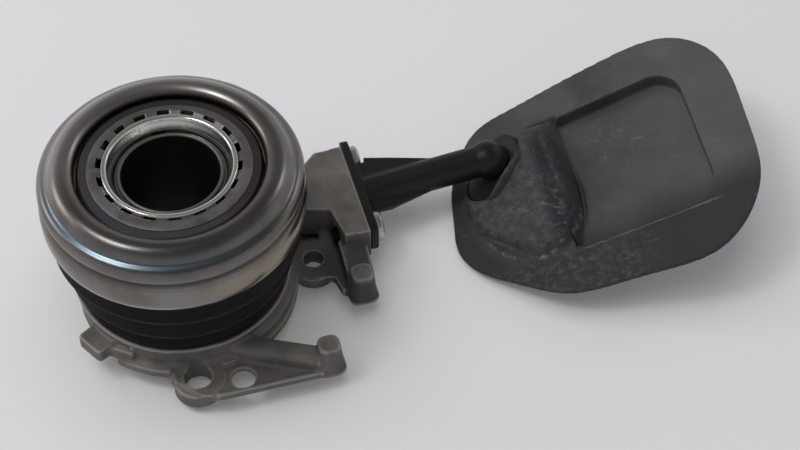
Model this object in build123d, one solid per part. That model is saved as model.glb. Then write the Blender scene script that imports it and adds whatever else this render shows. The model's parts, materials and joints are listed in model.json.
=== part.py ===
from build123d import *
import math
import os

os.makedirs("parts", exist_ok=True)

# Hydraulic clutch release bearing: a concentric slave cylinder whose piston pushes a
# self-centring release bearing, with a screwed-on plastic inlet pipe and a rubber boot.
# Origin: on the bearing axis, in the mounting face under the three bolt ears.
# +Z points to the clutch, +X the way the inlet port faces. All sizes in millimetres.
# The bearing stands at full extension, as the preload spring leaves it.

# Fits and clearances
run_gap = 0.05
seat_gap = 0.03
race_play = 0.08
soft_gap = 0.35

# Guide tube, pressed into the base of the housing
shaft_bore_r = 14.3
tube_wall = 1.2
tube_top = 57.0
tube_flange_r = 23.0
tube_flange_t = 2.7
tube_flange_top = 1.5
stop_groove_depth = 0.6
stop_ring_t = 1.2
stop_ring_width = 1.3
stop_ring_mouth = 4.0
stop_ring_margin = 1.0
base_ring_section = 1.7

# Housing: cylinder, spring pocket, boot ledge and hub
cylinder_r = 21.0
tower_wall = 2.4
tower_top = 28.0
pocket_floor = 7.5
pocket_gap = 0.6
collar_wall = 1.6
collar_top = 17.0
ledge_z = 14.4
ledge_r = 32.8
body_r = 32.0
body_bottom = 3.5
skirt_r = 34.6
skirt_top = 6.5
hub_r = 26.0
hub_depth = 2.5
hub_relief = 0.5
hub_relief_h = 1.0

# Mounting ears
ear_t = 6.0
ear_r = 7.3
ear_front = (-3.8, -35.9)
ear_side = (40.0, -2.1)
ear_back = (-25.6, 29.4)
ear_front_hole_r = 4.1
ear_side_hole_r = 3.1
ear_back_hole_r = 3.1
pad_r = 8.2
pad_rise = 0.6
web_bottom = 3.4
web_rim_w = 1.3
web_rim_h = 0.7
web_hole = (9.0, -39.6)
web_hole_r = 3.6

# Guide pegs, arm, left lug
peg_top = 13.5
peg_bottom = 2.6
peg_width = 8.6
peg_corner = 2.9
peg_taper = 5.0
peg_front = (35.2, -40.1)
peg_side = (51.7, -16.9)
arm_root = (5.0, -27.0)
arm_width = 7.4
arm_top = 10.4
arm_round = 2.2
lug_angle = -149.5
lug_width = 9.6
lug_reach = 38.3
lug_top = 11.2
lug_t = 4.8

# Inlet block and passage
port_y = 15.8
port_z = 10.0
block_face_x = 58.2
block_top = 15.5
block_bottom = 4.5
block_near_y = -4.6
block_far_y = 33.2
block_draft = 6.0
neck_top = 11.0
hump_r = 6.3
passage_r = 1.5
passage_end_z = 3.8
port_bore_r = 4.5
port_bore_depth = 12.0

# Inlet pipe: flange, ribs, tube, elbow and connector
flange_len = 39.0
flange_h = 11.0
flange_t = 2.6
flange_corner = 2.5
nozzle_len = 10.0
pipe_r = 5.1
pipe_bore_r = 2.2
nozzle_bore_r = 2.6
connector_bore_r = 1.95
bore_overrun = 1.4
pipe_rise = 5.2
elbow_x = 101.7
rib_len = 21.0
rib_t = 2.2
rib_overhang = 1.6
screw_pitch = 28.0
screw_r = 2.4
screw_len = 11.0
screw_head_r = 4.8
screw_head_h = 2.4
screw_drive_r = 1.9
screw_drive_depth = 1.3
screw_head_gap = 0.4
elbow_r = 6.0
elbow_dip = 51.0
elbow_len = 4.2
plate_len = 24.0
plate_w = 12.6
plate_t = 1.8
plate_shift = 1.5
plate_turn = 34.0
plate_gap = 0.35
socket_r = 5.5
socket_len = 9.5
socket_bore_r = 3.7
socket_depth = 8.0
seal_seat_r = 3.5
seal_seat_depth = 2.6
connector_ring_section = 1.5
o_ring_section = 1.8
clip_wire = 1.2
clip_depth = 6.6
clip_reach = 0.2
clip_leg_end = 4.8
clip_bow_gap = 0.6
clip_bend_r = 2.6

# Rubber boot
boot_from_elbow = (-14.65, -12.4)
boot_base_z = 0.2
boot_tilt = 17.0
boot_t = 2.0
panel_depth = 5.5
panel_floor_t = 2.0
panel_wall = 2.0
boot_edge = [(7.5, 20.0), (3.1, 12.5), (0.0, 0.0), (-1.7, -10.0), (1.8, -19.8), (8.8, -27.3), (16.5, -34.3), (25.0, -40.4),
             (34.0, -43.1), (47.0, -44.9), (60.0, -46.9), (71.5, -46.8), (80.7, -42.6), (88.5, -35.2), (94.0, -25.9),
             (96.9, -13.0), (98.6, 1.0), (99.7, 12.0), (98.6, 22.6), (93.8, 31.5), (86.0, 37.4), (76.0, 39.3),
             (61.7, 38.6), (45.7, 36.9), (29.6, 34.8), (19.5, 32.8), (12.6, 27.7)]
dome_rings = [(-7.5, 24.6, -0.4, 18.6, 25.0), (0.0, 23.4, -0.6, 17.4, 24.2), (3.5, 23.9, 0.4, 15.2, 20.8),
              (7.0, 25.0, 1.2, 12.6, 17.4), (9.4, 26.4, 2.2, 8.6, 12.4), (10.8, 27.6, 3.0, 4.6, 7.6)]
dome_wall = 2.0
seat_margin = 1.5
seat_t = 4.0
connector_room = 2.3
room_depth = 7.0

# Piston, seal, carrier and preload spring
piston_bottom = 19.0
piston_top = 34.0
seal_h = 4.2
seal_lip = 1.1
carrier_seat = 43.2
carrier_hub_r = 20.4
carrier_flange_t = 1.7
carrier_rim_r = 35.2
carrier_rim_drop = 0.3
carrier_skirt_w = 2.0
carrier_hook = 0.7
spring_wire = 2.0
spring_turns = 5.0

# Bellows, as (radius, height) of its outer folds from the top down
bellows_wall = 1.2
bellows_bead_r = 35.6
bellows_bead_h = 1.7
bellows_folds = [(37.1, 33.7), (33.2, 28.6), (34.3, 23.2), (31.0, 18.8)]
bellows_foot_r = 32.0
bellows_foot_h = 1.9

# Release bearing
ball_r = 4.0
ball_count = 18
ball_pitch_r = 30.2
ball_height = 5.4
race_wall = 2.0
race_h = 14.9
race_lip_r = 26.9
race_seat_w = 2.8
race_seat_drop = 1.1
race_seat_t = 1.6
outer_wall = 1.8
washer_t = 1.3
washer_rise = 0.25
washer_dip = 0.8
slot_count = 18
slot_w = 3.3
slot_r = 21.0
slot_phase = 8.6
spring_washer_h = 1.2
spring_washer_t = 0.6
sleeve_wall = 2.65
sleeve_rim_r = 19.4
sleeve_rim_z = 60.4
sleeve_rim_t = 1.4
sleeve_mouth_r = 17.9
sleeve_seat_gap = 0.4
cage_wall = 3.4
cage_top = 6.0
cage_fingers = 1.0
cover_t = 1.6
cover_crest = 2.7
cover_edge_gap = 0.5
cover_drop = 20.8
lower_seal_t = 0.9
lower_seal_lip = 1.0

# Values that follow from the ones above
tube_r = shaft_bore_r + tube_wall
slide_r = tube_r + run_gap
piston_r = cylinder_r - run_gap
tower_r = cylinder_r + tower_wall
spring_r = tower_r + pocket_gap + spring_wire / 2 + 0.3
pocket_r = spring_r + spring_wire / 2 + pocket_gap
collar_r = pocket_r + collar_wall
web_top = ear_t - pad_rise
race_bottom = carrier_seat + spring_washer_h
race_top = race_bottom + race_h
ball_z = race_bottom + ball_height
groove_r = ball_r + race_play
race_r = ball_pitch_r - ball_r - race_wall
outer_race_r = ball_pitch_r + ball_r + outer_wall
cover_groove_r = outer_race_r + run_gap + cover_t
cover_edge_r = race_lip_r + cover_edge_gap
crest_z = race_top + cover_crest
stop_z = tube_top - stop_ring_margin - stop_ring_t
sleeve_r = slide_r + sleeve_wall
rim_z = carrier_seat - carrier_rim_drop
pipe_start = Vector(block_face_x + flange_t, port_y, port_z)
pipe_dir = Vector(math.cos(math.radians(pipe_rise)), 0, math.sin(math.radians(pipe_rise)))
elbow = pipe_start + pipe_dir * ((elbow_x - pipe_start.X) / pipe_dir.X)
boot_origin = (elbow_x + boot_from_elbow[0], port_y + boot_from_elbow[1], boot_base_z)
clip_offset = socket_bore_r + clip_wire / 2 - clip_reach


def polar(radius, degrees):
    """A point in the XY plane from a radius and an angle."""
    return (radius * math.cos(math.radians(degrees)), radius * math.sin(math.radians(degrees)))


def turned(points):
    """A solid of revolution about Z from a closed (radius, height) outline."""
    return revolve(Plane.XZ * make_face(Polyline(*points, close=True)), Axis.Z)


def cylinder(radius, low, high, at=(0, 0)):
    """An upright cylinder between two heights."""
    return Pos(at[0], at[1], low) * Cylinder(radius, high - low, align=(Align.CENTER, Align.CENTER, Align.MIN))


def prism(points, low, high, corner=0.0, taper=0.0):
    """An upright prism on a closed outline, with rounded corners and draft if given."""
    face = make_face(Polyline(*points, close=True))
    if corner:
        face = fillet(face.vertices(), corner)
    return extrude(Pos(0, 0, low) * face, high - low, taper=taper)


def rod(start, end, radius):
    """A round bar from one point to another."""
    start, end = Vector(*start), Vector(*end)
    along = end - start
    frame = Plane(origin=start, z_dir=along)
    return frame * Cylinder(radius, along.length, align=(Align.CENTER, Align.CENTER, Align.MIN))


def torus(ring_r, section_r, at):
    """An O-ring about Z at a height."""
    return Pos(0, 0, at) * Torus(ring_r, section_r)


# Housing casting


def peg(at):
    """A drafted square guide peg with rounded corners and a flash ledge at its foot."""
    shrink = (peg_top - peg_bottom) * math.tan(math.radians(peg_taper))
    foot = Pos(at[0], at[1], peg_bottom) * RectangleRounded(peg_width, peg_width, peg_corner)
    head = Pos(at[0], at[1], peg_top) * RectangleRounded(peg_width - 2 * shrink, peg_width - 2 * shrink,
                                                         peg_corner - shrink / 2)
    post = loft([foot, head])
    post = fillet(post.faces().sort_by(Axis.Z)[-1].edges(), 0.8)
    ledge = extrude(Pos(at[0], at[1], peg_bottom) * RectangleRounded(peg_width + 0.8, peg_width + 0.8, peg_corner), 1.2)
    return post + ledge


def front_ear():
    """The front ear: boss, spot-faced pad, thin web with a raised rim, and its second hole."""
    x, y = ear_front
    front_y = y - ear_r
    tip_x, tip_y = peg_front
    boss = cylinder(ear_r, 0, web_top, ear_front)
    web_outline = [
        (x - ear_r + 0.6, -body_r + 4),
        (x - ear_r + 0.6, y),
        (x, front_y),
        (x + 4, front_y - 1.4),
        (tip_x - 3, tip_y - peg_width / 2 - 0.6),
        (tip_x + 1, tip_y),
        (x + 14, -body_r + 8),
    ]
    web = prism(web_outline, web_bottom, web_top)
    rim_outline = [
        (x + 4, front_y - 1.4),
        (tip_x - 3, tip_y - peg_width / 2 - 0.6),
        (tip_x - 3, tip_y - peg_width / 2 - 0.6 + web_rim_w),
        (x + 4, front_y - 1.4 + web_rim_w),
    ]
    rim = prism(rim_outline, web_bottom, web_top + web_rim_h)
    pad = cylinder(pad_r, web_top - 1, ear_t, ear_front) & prism(web_outline, web_top - 1, ear_t)
    neck = prism([(x - ear_r, y), (x - 9.5, -body_r + 2.6), (x + 9, -body_r + 4), (x + ear_r, y)], web_bottom, web_top)
    return boss + web + rim + pad + neck


def arm():
    """The round-topped arm from the cylinder to the front peg."""
    tip = (peg_front[0] - 2.0, peg_front[1] - 0.8)
    along = Vector(tip[0] - arm_root[0], tip[1] - arm_root[1])
    middle = ((tip[0] + arm_root[0]) / 2, (tip[1] + arm_root[1]) / 2)
    turn = math.degrees(math.atan2(along.Y, along.X))
    face = Rot(0, 0, turn) * Rectangle(along.length, arm_width)
    bar = extrude(Pos(middle[0], middle[1], web_bottom) * face, arm_top - web_bottom, taper=4)
    tops = bar.faces().sort_by(Axis.Z)[-1].edges().sort_by(SortBy.LENGTH)[-2:]
    return fillet(tops, arm_round)


def side_ear():
    """The ear beside the inlet block, with a flat pad and a cut-off near edge."""
    x, y = ear_side
    boss = cylinder(ear_r, 0, ear_t, ear_side)
    shelf = prism([(x - 10, y + 5.5), (x - 10, y - 5.4), (x + 6.4, y - 9.4), (x + 8, y - 9.4), (x + 8, y + 5.5)],
                  web_bottom, ear_t)
    raised = cylinder(ear_r + 1.2, web_bottom, ear_t - 0.4, ear_side)
    return boss + shelf + raised


def back_ear():
    """The third ear, behind the bearing, on a shelf from the cylinder wall."""
    x, y = ear_back
    reach = math.hypot(x, y)
    turn = math.degrees(math.atan2(y, x))
    boss = cylinder(ear_r, 0, ear_t, ear_back)
    shelf = Rot(0, 0, turn) * prism([(body_r - 5, -10), (reach, -ear_r), (reach, ear_r), (body_r - 5, 10)],
                                    web_bottom, ear_t)
    return boss + shelf


def lug():
    """The square locating lug on the left, with a lower step and a gusset."""
    half = lug_width / 2
    bottom = lug_top - lug_t
    tab = prism([(body_r - 6, -half), (lug_reach, -half), (lug_reach, half), (body_r - 6, half)],
                bottom, lug_top, corner=1.2)
    step = prism([(body_r - 6, -half - 1), (lug_reach - 2.2, -half - 1), (lug_reach - 2.2, half - 1),
                  (body_r - 6, half - 1)], bottom - 1.6, bottom + 1.4, corner=0.8)
    gusset = prism([(body_r - 4, half - 1), (lug_reach - 3.5, half - 1), (body_r - 0.6, half + 6.5),
                    (body_r - 4, half + 6.5)], bottom - 0.5, lug_top - 0.8)
    return Rot(0, 0, lug_angle) * (tab + step + gusset)


def inlet_block():
    """The inlet block with its drafted top, chamfered far corner, neck and passage hump."""
    outline = [
        (block_face_x, block_near_y),
        (block_face_x, block_far_y),
        (block_face_x - 9.5, block_far_y),
        (block_face_x - 15, block_far_y - 5),
        (block_face_x - 26, port_y + hump_r - 1),
        (block_face_x - 26, port_y - hump_r + 2),
        (block_face_x - 11, port_y - hump_r - 2.5),
        (block_face_x - 9.0, block_near_y),
    ]
    block = prism(outline, block_bottom, block_top, taper=block_draft)
    face_slab = Pos(block_face_x - 2, (block_near_y + block_far_y) / 2, (block_bottom + block_top) / 2) * Box(
        4, block_far_y - block_near_y - 1.6, block_top - block_bottom - 0.05)
    trim = Pos(block_face_x + 10, port_y, port_z) * Box(20, 80, 40)
    neck_outline = [
        (block_face_x - 10.5, block_near_y + 4),
        (peg_side[0] - peg_width / 2 - 0.4, peg_side[1]),
        (peg_side[0] + peg_width / 2 + 0.2, peg_side[1]),
        (block_face_x - 0.8, block_near_y + 4),
    ]
    neck = prism(neck_outline, peg_bottom, neck_top, taper=4)
    foot_outline = [
        (ear_side[0] + 4, block_near_y + 12),
        (ear_side[0] + 4, block_near_y - 4),
        (peg_side[0] - peg_width / 2 - 1.6, peg_side[1]),
        (block_face_x - 4, peg_side[1] + 4),
        (block_face_x - 4, block_near_y + 12),
    ]
    foot = prism(foot_outline, peg_bottom, block_bottom + 1.5)
    slope = (port_z - passage_end_z) / (block_face_x - 13.0)
    hump_start = (body_r - 10, port_y, port_z - slope * (block_face_x - body_r + 10))
    hump_end = (block_face_x - 8, port_y, port_z - slope * 8)
    hump = rod(hump_start, hump_end, hump_r)
    under = prism([(body_r - 12, port_y - hump_r + 0.6), (block_face_x - 8, port_y - hump_r + 0.6),
                   (block_face_x - 8, port_y + hump_r - 0.6), (body_r - 12, port_y + hump_r - 0.6)],
                  block_bottom - 0.8, port_z - 2.5)
    return block - trim + face_slab + neck + foot + hump + under


def front_skirt():
    """The outward skirt at the foot of the cylinder, round the front and right side only."""
    section = make_face(Polyline((body_r - 3, body_bottom), (skirt_r, body_bottom), (skirt_r, skirt_top),
                                 (body_r - 3, skirt_top + 1.6), close=True))
    band = revolve(Plane.XZ * section, Axis.Z, 140)
    return Rot(0, 0, -138) * band


def side_rib():
    """The curved rib that runs above the skirt from the arm to the side ear."""
    section = Pos(body_r + 0.2, skirt_top + 2.4) * Circle(1.5)
    band = revolve(Plane.XZ * section, Axis.Z, 52)
    return Rot(0, 0, -62) * band


def make_housing():
    """The aluminium casting, bored for the piston, spring, guide tube, port and bolts."""
    body = turned([(0, -hub_depth), (hub_r, -hub_depth), (hub_r, -hub_relief_h), (hub_r - hub_relief, -hub_relief_h),
                   (hub_r - hub_relief, 0), (hub_r + hub_relief, 0), (hub_r + hub_relief, body_bottom),
                   (body_r, body_bottom),
                   (body_r, ledge_z - 2.0), (ledge_r, ledge_z - 1.0), (ledge_r, ledge_z), (collar_r, ledge_z),
                   (collar_r, collar_top), (tower_r, collar_top), (tower_r, tower_top - 1.2),
                   (tower_r - 0.8, tower_top), (0, tower_top)])
    solid = body + front_skirt() + side_rib() + front_ear() + arm() + side_ear() + back_ear() + lug()
    solid += inlet_block() + peg(peg_front) + peg(peg_side)
    solid -= cylinder(cylinder_r, -hub_depth - 1, tower_top + 1)
    solid -= cylinder(tube_flange_r + seat_gap, -hub_depth - 1, tube_flange_top + seat_gap)
    solid -= cylinder(pocket_r, pocket_floor, collar_top + 1) - cylinder(tower_r, 0, tower_top)
    for at, radius in ((ear_front, ear_front_hole_r), (ear_side, ear_side_hole_r), (ear_back, ear_back_hole_r),
                       (web_hole, web_hole_r)):
        solid -= cylinder(radius, -1, web_top + 4, at)
    slope = (port_z - passage_end_z) / (block_face_x - 13.0)
    inner = block_face_x - port_bore_depth + 1
    solid -= rod((block_face_x + 1, port_y, port_z), (block_face_x - port_bore_depth, port_y, port_z), port_bore_r)
    solid -= rod((inner, port_y, port_z - slope * (block_face_x - inner)), (13.0, port_y, passage_end_z), passage_r)
    for side in (-1, 1):
        at = (block_face_x + 1, port_y + side * screw_pitch / 2, port_z)
        solid -= rod(at, (block_face_x - screw_len - 1, at[1], port_z), screw_r + run_gap)
    return solid


# Guide tube and its rings


def make_guide_tube():
    """The drawn steel tube with its pressed-in flange and the groove for the stop ring."""
    rebate = base_ring_section + 0.1
    bottom = tube_flange_top - tube_flange_t
    tube = turned([(shaft_bore_r, bottom), (tube_flange_r, bottom), (tube_flange_r, tube_flange_top - rebate),
                   (tube_flange_r - rebate, tube_flange_top - rebate), (tube_flange_r - rebate, tube_flange_top),
                   (tube_r, tube_flange_top), (tube_r, tube_top - 0.4), (tube_r - 0.4, tube_top),
                   (shaft_bore_r, tube_top)])
    groove = cylinder(tube_r + 1, stop_z - seat_gap, stop_z + stop_ring_t + seat_gap)
    return tube - (groove - cylinder(tube_r - stop_groove_depth, 0, tube_top))


def make_stop_ring():
    """The open snap ring on the guide tube that stops the sleeve."""
    inner = tube_r - stop_groove_depth + seat_gap
    ring = cylinder(inner + stop_ring_width, stop_z, stop_z + stop_ring_t) - cylinder(inner, 0, tube_top)
    return ring - Pos(0, inner, stop_z) * Box(stop_ring_mouth, 2 * stop_ring_width + 3, 4 * stop_ring_t)


def make_base_seal_ring():
    """The O-ring between the guide tube's flange and the housing."""
    rebate = base_ring_section + 0.1
    return torus(tube_flange_r - rebate / 2, base_ring_section / 2, tube_flange_top - rebate / 2)


# Piston, seal and carrier


def make_piston():
    """The annular piston with a seal head and weight-saving grooves."""
    middle = (slide_r + piston_r) / 2
    body = turned([(slide_r, piston_bottom), (piston_r, piston_bottom), (piston_r, piston_bottom + 7),
                   (piston_r - 0.6, piston_bottom + 7.6), (piston_r - 0.6, piston_top), (slide_r, piston_top)])
    tongue = turned([(middle - 1.0, piston_bottom - 1.2), (middle + 1.0, piston_bottom - 1.2),
                     (middle + 1.0, piston_bottom + 0.5), (middle - 1.0, piston_bottom + 0.5)])
    return body + tongue


def make_piston_seal():
    """The U-shaped rubber seal that snaps on the piston's tongue."""
    low = piston_bottom - seal_h
    high = piston_bottom - seat_gap
    middle = (slide_r + piston_r) / 2
    return turned([(slide_r, low), (slide_r + seal_lip, low), (middle - 0.9, low + 2.0), (middle + 0.9, low + 2.0),
                   (piston_r - seal_lip, low), (piston_r, low), (piston_r, high), (middle + 1.0 + seat_gap, high),
                   (middle + 1.0 + seat_gap, piston_bottom - 1.2 - seat_gap),
                   (middle - 1.0 - seat_gap, piston_bottom - 1.2 - seat_gap), (middle - 1.0 - seat_gap, high),
                   (slide_r, high)])


def make_carrier():
    """The moulded carrier between piston and bearing, with the hooked rim for the bellows."""
    skirt_out = bellows_bead_r - bellows_wall - seat_gap - 0.4
    hook_top = rim_z - carrier_flange_t - bellows_bead_h - 2 * seat_gap
    under = rim_z - carrier_flange_t
    nest_r = sleeve_r + seat_gap
    return turned([(slide_r, piston_top + seat_gap), (carrier_hub_r, piston_top + seat_gap), (carrier_hub_r, under),
                   (skirt_out - carrier_skirt_w, under), (skirt_out - carrier_skirt_w, hook_top - 1.2),
                   (skirt_out + carrier_hook - 0.3, hook_top - 1.2), (skirt_out + carrier_hook, hook_top),
                   (skirt_out, hook_top), (skirt_out, under), (carrier_rim_r, under), (carrier_rim_r, rim_z),
                   (ball_pitch_r - 1.3, rim_z), (ball_pitch_r - 1.3, carrier_seat),
                   (carrier_hub_r + 0.6, carrier_seat), (carrier_hub_r, carrier_seat + 2.4),
                   (nest_r, carrier_seat + 2.4), (nest_r, carrier_seat), (slide_r, carrier_seat)])


def make_preload_spring():
    """The cylindrical preload spring between the housing pocket and the carrier."""
    low = pocket_floor + spring_wire / 2 + seat_gap
    high = rim_z - carrier_flange_t - spring_wire / 2 - seat_gap
    path = Pos(0, 0, low) * Helix((high - low) / spring_turns, high - low, spring_r)
    section = Plane(origin=path @ 0, z_dir=path % 0) * Circle(spring_wire / 2)
    return sweep(section, path=path, is_frenet=True)


def make_bellows():
    """The rubber dust bellows: top bead, folds and a foot on the housing's ledge."""
    top = rim_z - carrier_flange_t - seat_gap
    bead_low = top - bellows_bead_h
    foot_low = ledge_z + seat_gap
    foot_in = collar_r + seat_gap
    outer = [(bellows_bead_r, top), (bellows_bead_r, bead_low)] + bellows_folds
    outer += [(bellows_foot_r, foot_low + bellows_foot_h), (bellows_foot_r, foot_low)]
    inner = [(foot_in, foot_low), (foot_in, foot_low + bellows_foot_h)]
    inner += [(r - bellows_wall, z) for r, z in reversed(bellows_folds)]
    bead_in = bellows_bead_r - bellows_wall - 0.4
    inner += [(bead_in + 0.5, bead_low - 1.4), (bead_in + 0.75, bead_low), (bead_in, bead_low + 0.1), (bead_in, top)]
    return turned(outer + inner)


# Release bearing


def raceway(start_deg, end_deg):
    """Points along the ball groove round the ball centre, between two angles."""
    steps = 10
    angles = [start_deg + (end_deg - start_deg) * i / steps for i in range(steps + 1)]
    return [(ball_pitch_r + groove_r * math.cos(math.radians(a)), ball_z + groove_r * math.sin(math.radians(a)))
            for a in angles]


def groove_arc(start_deg, end_deg):
    """The ball groove as a true arc in the (radius, height) plane."""
    ends = raceway(start_deg, end_deg)
    return ThreePointArc(ends[0], ends[5], ends[-1])


def make_inner_race():
    """The fixed inner race: ball groove below, seat for the slotted washer above."""
    arc = groove_arc(171, 256)
    first, last = arc @ 0, arc @ 1
    seat_in = race_r - race_seat_w
    seat_z = race_top - race_seat_drop
    rest = Polyline((last.X, last.Y), (last.X, race_bottom), (race_r, race_bottom), (race_r, seat_z - race_seat_t),
                    (seat_in, seat_z - race_seat_t), (seat_in, seat_z), (race_r - 0.2, seat_z),
                    (race_r - 0.2, race_top), (race_lip_r - 0.7, race_top), (race_lip_r, race_top - 0.6),
                    (race_lip_r, race_top - 3.0), (first.X, race_top - 4.2), (first.X, first.Y))
    return revolve(Plane.XZ * make_face([arc] + rest.edges()), Axis.Z)


def make_outer_race():
    """The rotating outer race, held inside the cover."""
    arc = groove_arc(-12, 75)
    first, last = arc @ 0, arc @ 1
    shoulder = outer_race_r - 1.4
    rest = Polyline((last.X, last.Y), (last.X, race_top - 1.5), (outer_race_r - 2.0, race_top - 2.7),
                    (outer_race_r, race_top - 4.3), (outer_race_r, race_bottom + 0.1),
                    (shoulder, race_bottom + 0.1), (shoulder, first.Y), (first.X, first.Y))
    return revolve(Plane.XZ * make_face([arc] + rest.edges()), Axis.Z)


def make_balls():
    """The set of balls, one solid each."""
    step = 360 / ball_count
    balls = [Pos(*polar(ball_pitch_r, i * step), ball_z) * Sphere(ball_r) for i in range(ball_count)]
    return Compound(children=balls)


def make_cage():
    """The crown cage: a ring above the balls with fingers between them."""
    middle_r = ball_pitch_r - 1.3
    ring = cylinder(middle_r + cage_wall / 2, ball_z - cage_fingers, ball_z + cage_top)
    ring -= cylinder(middle_r - cage_wall / 2, 0, crest_z)
    step = 360 / ball_count
    for i in range(ball_count):
        ring -= Pos(*polar(ball_pitch_r, i * step), ball_z) * Sphere(ball_r + 1.5 * race_play)
    return ring


def cover_outline():
    """Outer line of the cover in (radius, height): edge, contact torus, bead, groove, band."""
    g = cover_groove_r
    crest_r = (cover_edge_r + g) / 2 - 1.4
    return [(cover_edge_r, crest_z - 4.2), (cover_edge_r + 0.05, crest_z - 2.1), (crest_r - 2.0, crest_z - 0.5),
            (crest_r, crest_z), (crest_r + 2.2, crest_z - 0.6), (g - 2.6, crest_z - 2.4), (g - 1.7, crest_z - 3.6),
            (g - 0.5, crest_z - 3.9), (g + 0.6, crest_z - 5.0), (g + 0.95, crest_z - 6.9), (g + 0.55, crest_z - 8.9),
            (g, crest_z - 10.0), (g + 0.55, crest_z - 11.1), (g + 1.2, crest_z - 12.4), (g + 1.35, crest_z - 14.5),
            (g + 1.25, crest_z - 17.4), (g + 0.9, crest_z - 19.4), (g + 0.35, crest_z - cover_drop)]


def make_cover():
    """The pressed steel cover that turns with the clutch and carries the contact torus."""
    outer = Spline(*cover_outline())
    count = 36
    inner_points = []
    for i in range(count + 1):
        t = i / count
        tangent = outer % t
        spot = outer @ t
        inner_points.append((spot.X + tangent.Y * cover_t, spot.Y - tangent.X * cover_t))
    inner = Spline(*inner_points)
    ends = [Line(outer @ 1, inner @ 1), Line(inner @ 0, outer @ 0)]
    return revolve(Plane.XZ * make_face([outer, inner] + ends), Axis.Z)


def make_lower_seal():
    """The rubber seal that closes the bearing from below and runs on the inner race."""
    arc_end = raceway(171, 256)[-1][0]
    low = rim_z + soft_gap + 0.15
    high = low + lower_seal_t
    lip_r = arc_end + soft_gap
    out_r = cover_groove_r + 1.0 - cover_t
    return turned([(lip_r + 0.3, low), (out_r, low), (out_r, high), (lip_r + 1.3, high),
                   (lip_r + 0.6, high + lower_seal_lip), (lip_r, high + lower_seal_lip), (lip_r, low + 0.4)])


def make_slotted_washer():
    """The self-centring washer whose tabs reach under the rim of the sleeve."""
    low = race_top - race_seat_drop + seat_gap
    top = low + washer_t
    tip_r = sleeve_r + washer_rise
    out_r = race_r - 0.2 - washer_rise
    ring = turned([(tip_r, low - washer_dip), (slot_r, low), (out_r, low), (out_r, top), (slot_r, top),
                   (tip_r, top - washer_dip)])
    step = 360 / slot_count
    for i in range(slot_count):
        ring -= Rot(0, 0, (i + 0.5) * step + slot_phase) * Pos((slot_r + tip_r) / 2 - 2, 0, low) * Box(
            slot_r - tip_r + 4, slot_w, 6)
    return ring


def make_spring_washer():
    """The disc spring under the inner race that keeps the bearing pressed up but free to centre."""
    low = carrier_seat + seat_gap
    high = race_bottom - seat_gap
    in_r = race_r + 0.4
    out_r = ball_pitch_r - 1.6
    return turned([(in_r, low), (out_r, high - spring_washer_t), (out_r, high), (in_r, low + spring_washer_t)])


def make_sleeve():
    """The bright sleeve that guides the bearing and shows as the rim round the bore."""
    low = carrier_seat + seat_gap
    step_z = stop_z - run_gap
    relief_r = tube_r - stop_groove_depth + stop_ring_width + sleeve_seat_gap
    rim_low = sleeve_rim_z - sleeve_rim_t
    lip = (sleeve_rim_r - sleeve_mouth_r) / 3
    return turned([(slide_r, low), (sleeve_r, low), (sleeve_r, rim_low), (sleeve_rim_r - 0.3, rim_low),
                   (sleeve_rim_r, rim_low + 0.4), (sleeve_rim_r - 0.1, sleeve_rim_z - 0.45),
                   (sleeve_rim_r - lip, sleeve_rim_z), (sleeve_mouth_r + lip, sleeve_rim_z),
                   (sleeve_mouth_r + 0.1, sleeve_rim_z - 0.35), (sleeve_mouth_r, sleeve_rim_z - 1.0),
                   (relief_r + 0.45, tube_top + 0.4), (relief_r, tube_top - 0.4), (relief_r, step_z),
                   (slide_r, step_z)])


# Inlet pipe, its seals, screws and clip


def dip_direction():
    """Unit vector from the elbow into the boot, along the connector."""
    dip = math.radians(elbow_dip)
    return Vector(math.cos(dip), 0, -math.sin(dip))


def long_direction():
    """Unit vector along the connector's plate, turned from the line of its steepest slope."""
    dip, turn = math.radians(elbow_dip), math.radians(plate_turn)
    return Vector(math.cos(turn) * math.sin(dip), math.sin(turn), math.cos(turn) * math.cos(dip))


def plate_frame(shift=0.0, depth=0.0):
    """Frame on the plate's outer face: x along the plate and uphill, z away from the boot."""
    down = dip_direction()
    up = long_direction()
    return Plane(origin=elbow + down * (elbow_len + depth) - up * shift, x_dir=up, z_dir=down * -1)


def flange_ribs():
    """Four tapered ribs between the flange and the tube."""
    x0 = pipe_start.X - 0.2
    reach = screw_pitch / 2 - screw_head_r + rib_overhang
    end = pipe_start + pipe_dir * rib_len
    flat = make_face(Polyline((x0, port_y - reach), (x0, port_y + reach), (end.X, port_y + pipe_r * 0.96),
                              (end.X, port_y - pipe_r * 0.96), close=True))
    side = extrude(Pos(0, 0, port_z - rib_t / 2) * flat, rib_t)
    side = Pos(0, 0, (end.Z - port_z) / 2.6) * side
    half = flange_h / 2
    tall = make_face(Polyline((x0, port_z - half), (x0, port_z + half), (end.X, end.Z + pipe_r * 0.96),
                              (end.X, end.Z - pipe_r * 0.96), close=True))
    middle = Plane(origin=(0, port_y + rib_t / 2, 0), x_dir=(1, 0, 0), z_dir=(0, -1, 0))
    upright = extrude(middle * tall, rib_t)
    return side + upright


def elbow_body():
    """The knuckle and the neck below it as one turned body along Z."""
    cap = ThreePointArc((0, -elbow_r), (elbow_r * math.cos(math.pi / 4), -elbow_r * math.sin(math.pi / 4)),
                        (elbow_r, 0))
    rest = Polyline((elbow_r, 0), (elbow_r, elbow_len + plate_t / 2), (0, elbow_len + plate_t / 2), (0, -elbow_r))
    return revolve(Plane.XZ * make_face([cap] + rest.edges()), Axis.Z)


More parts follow.
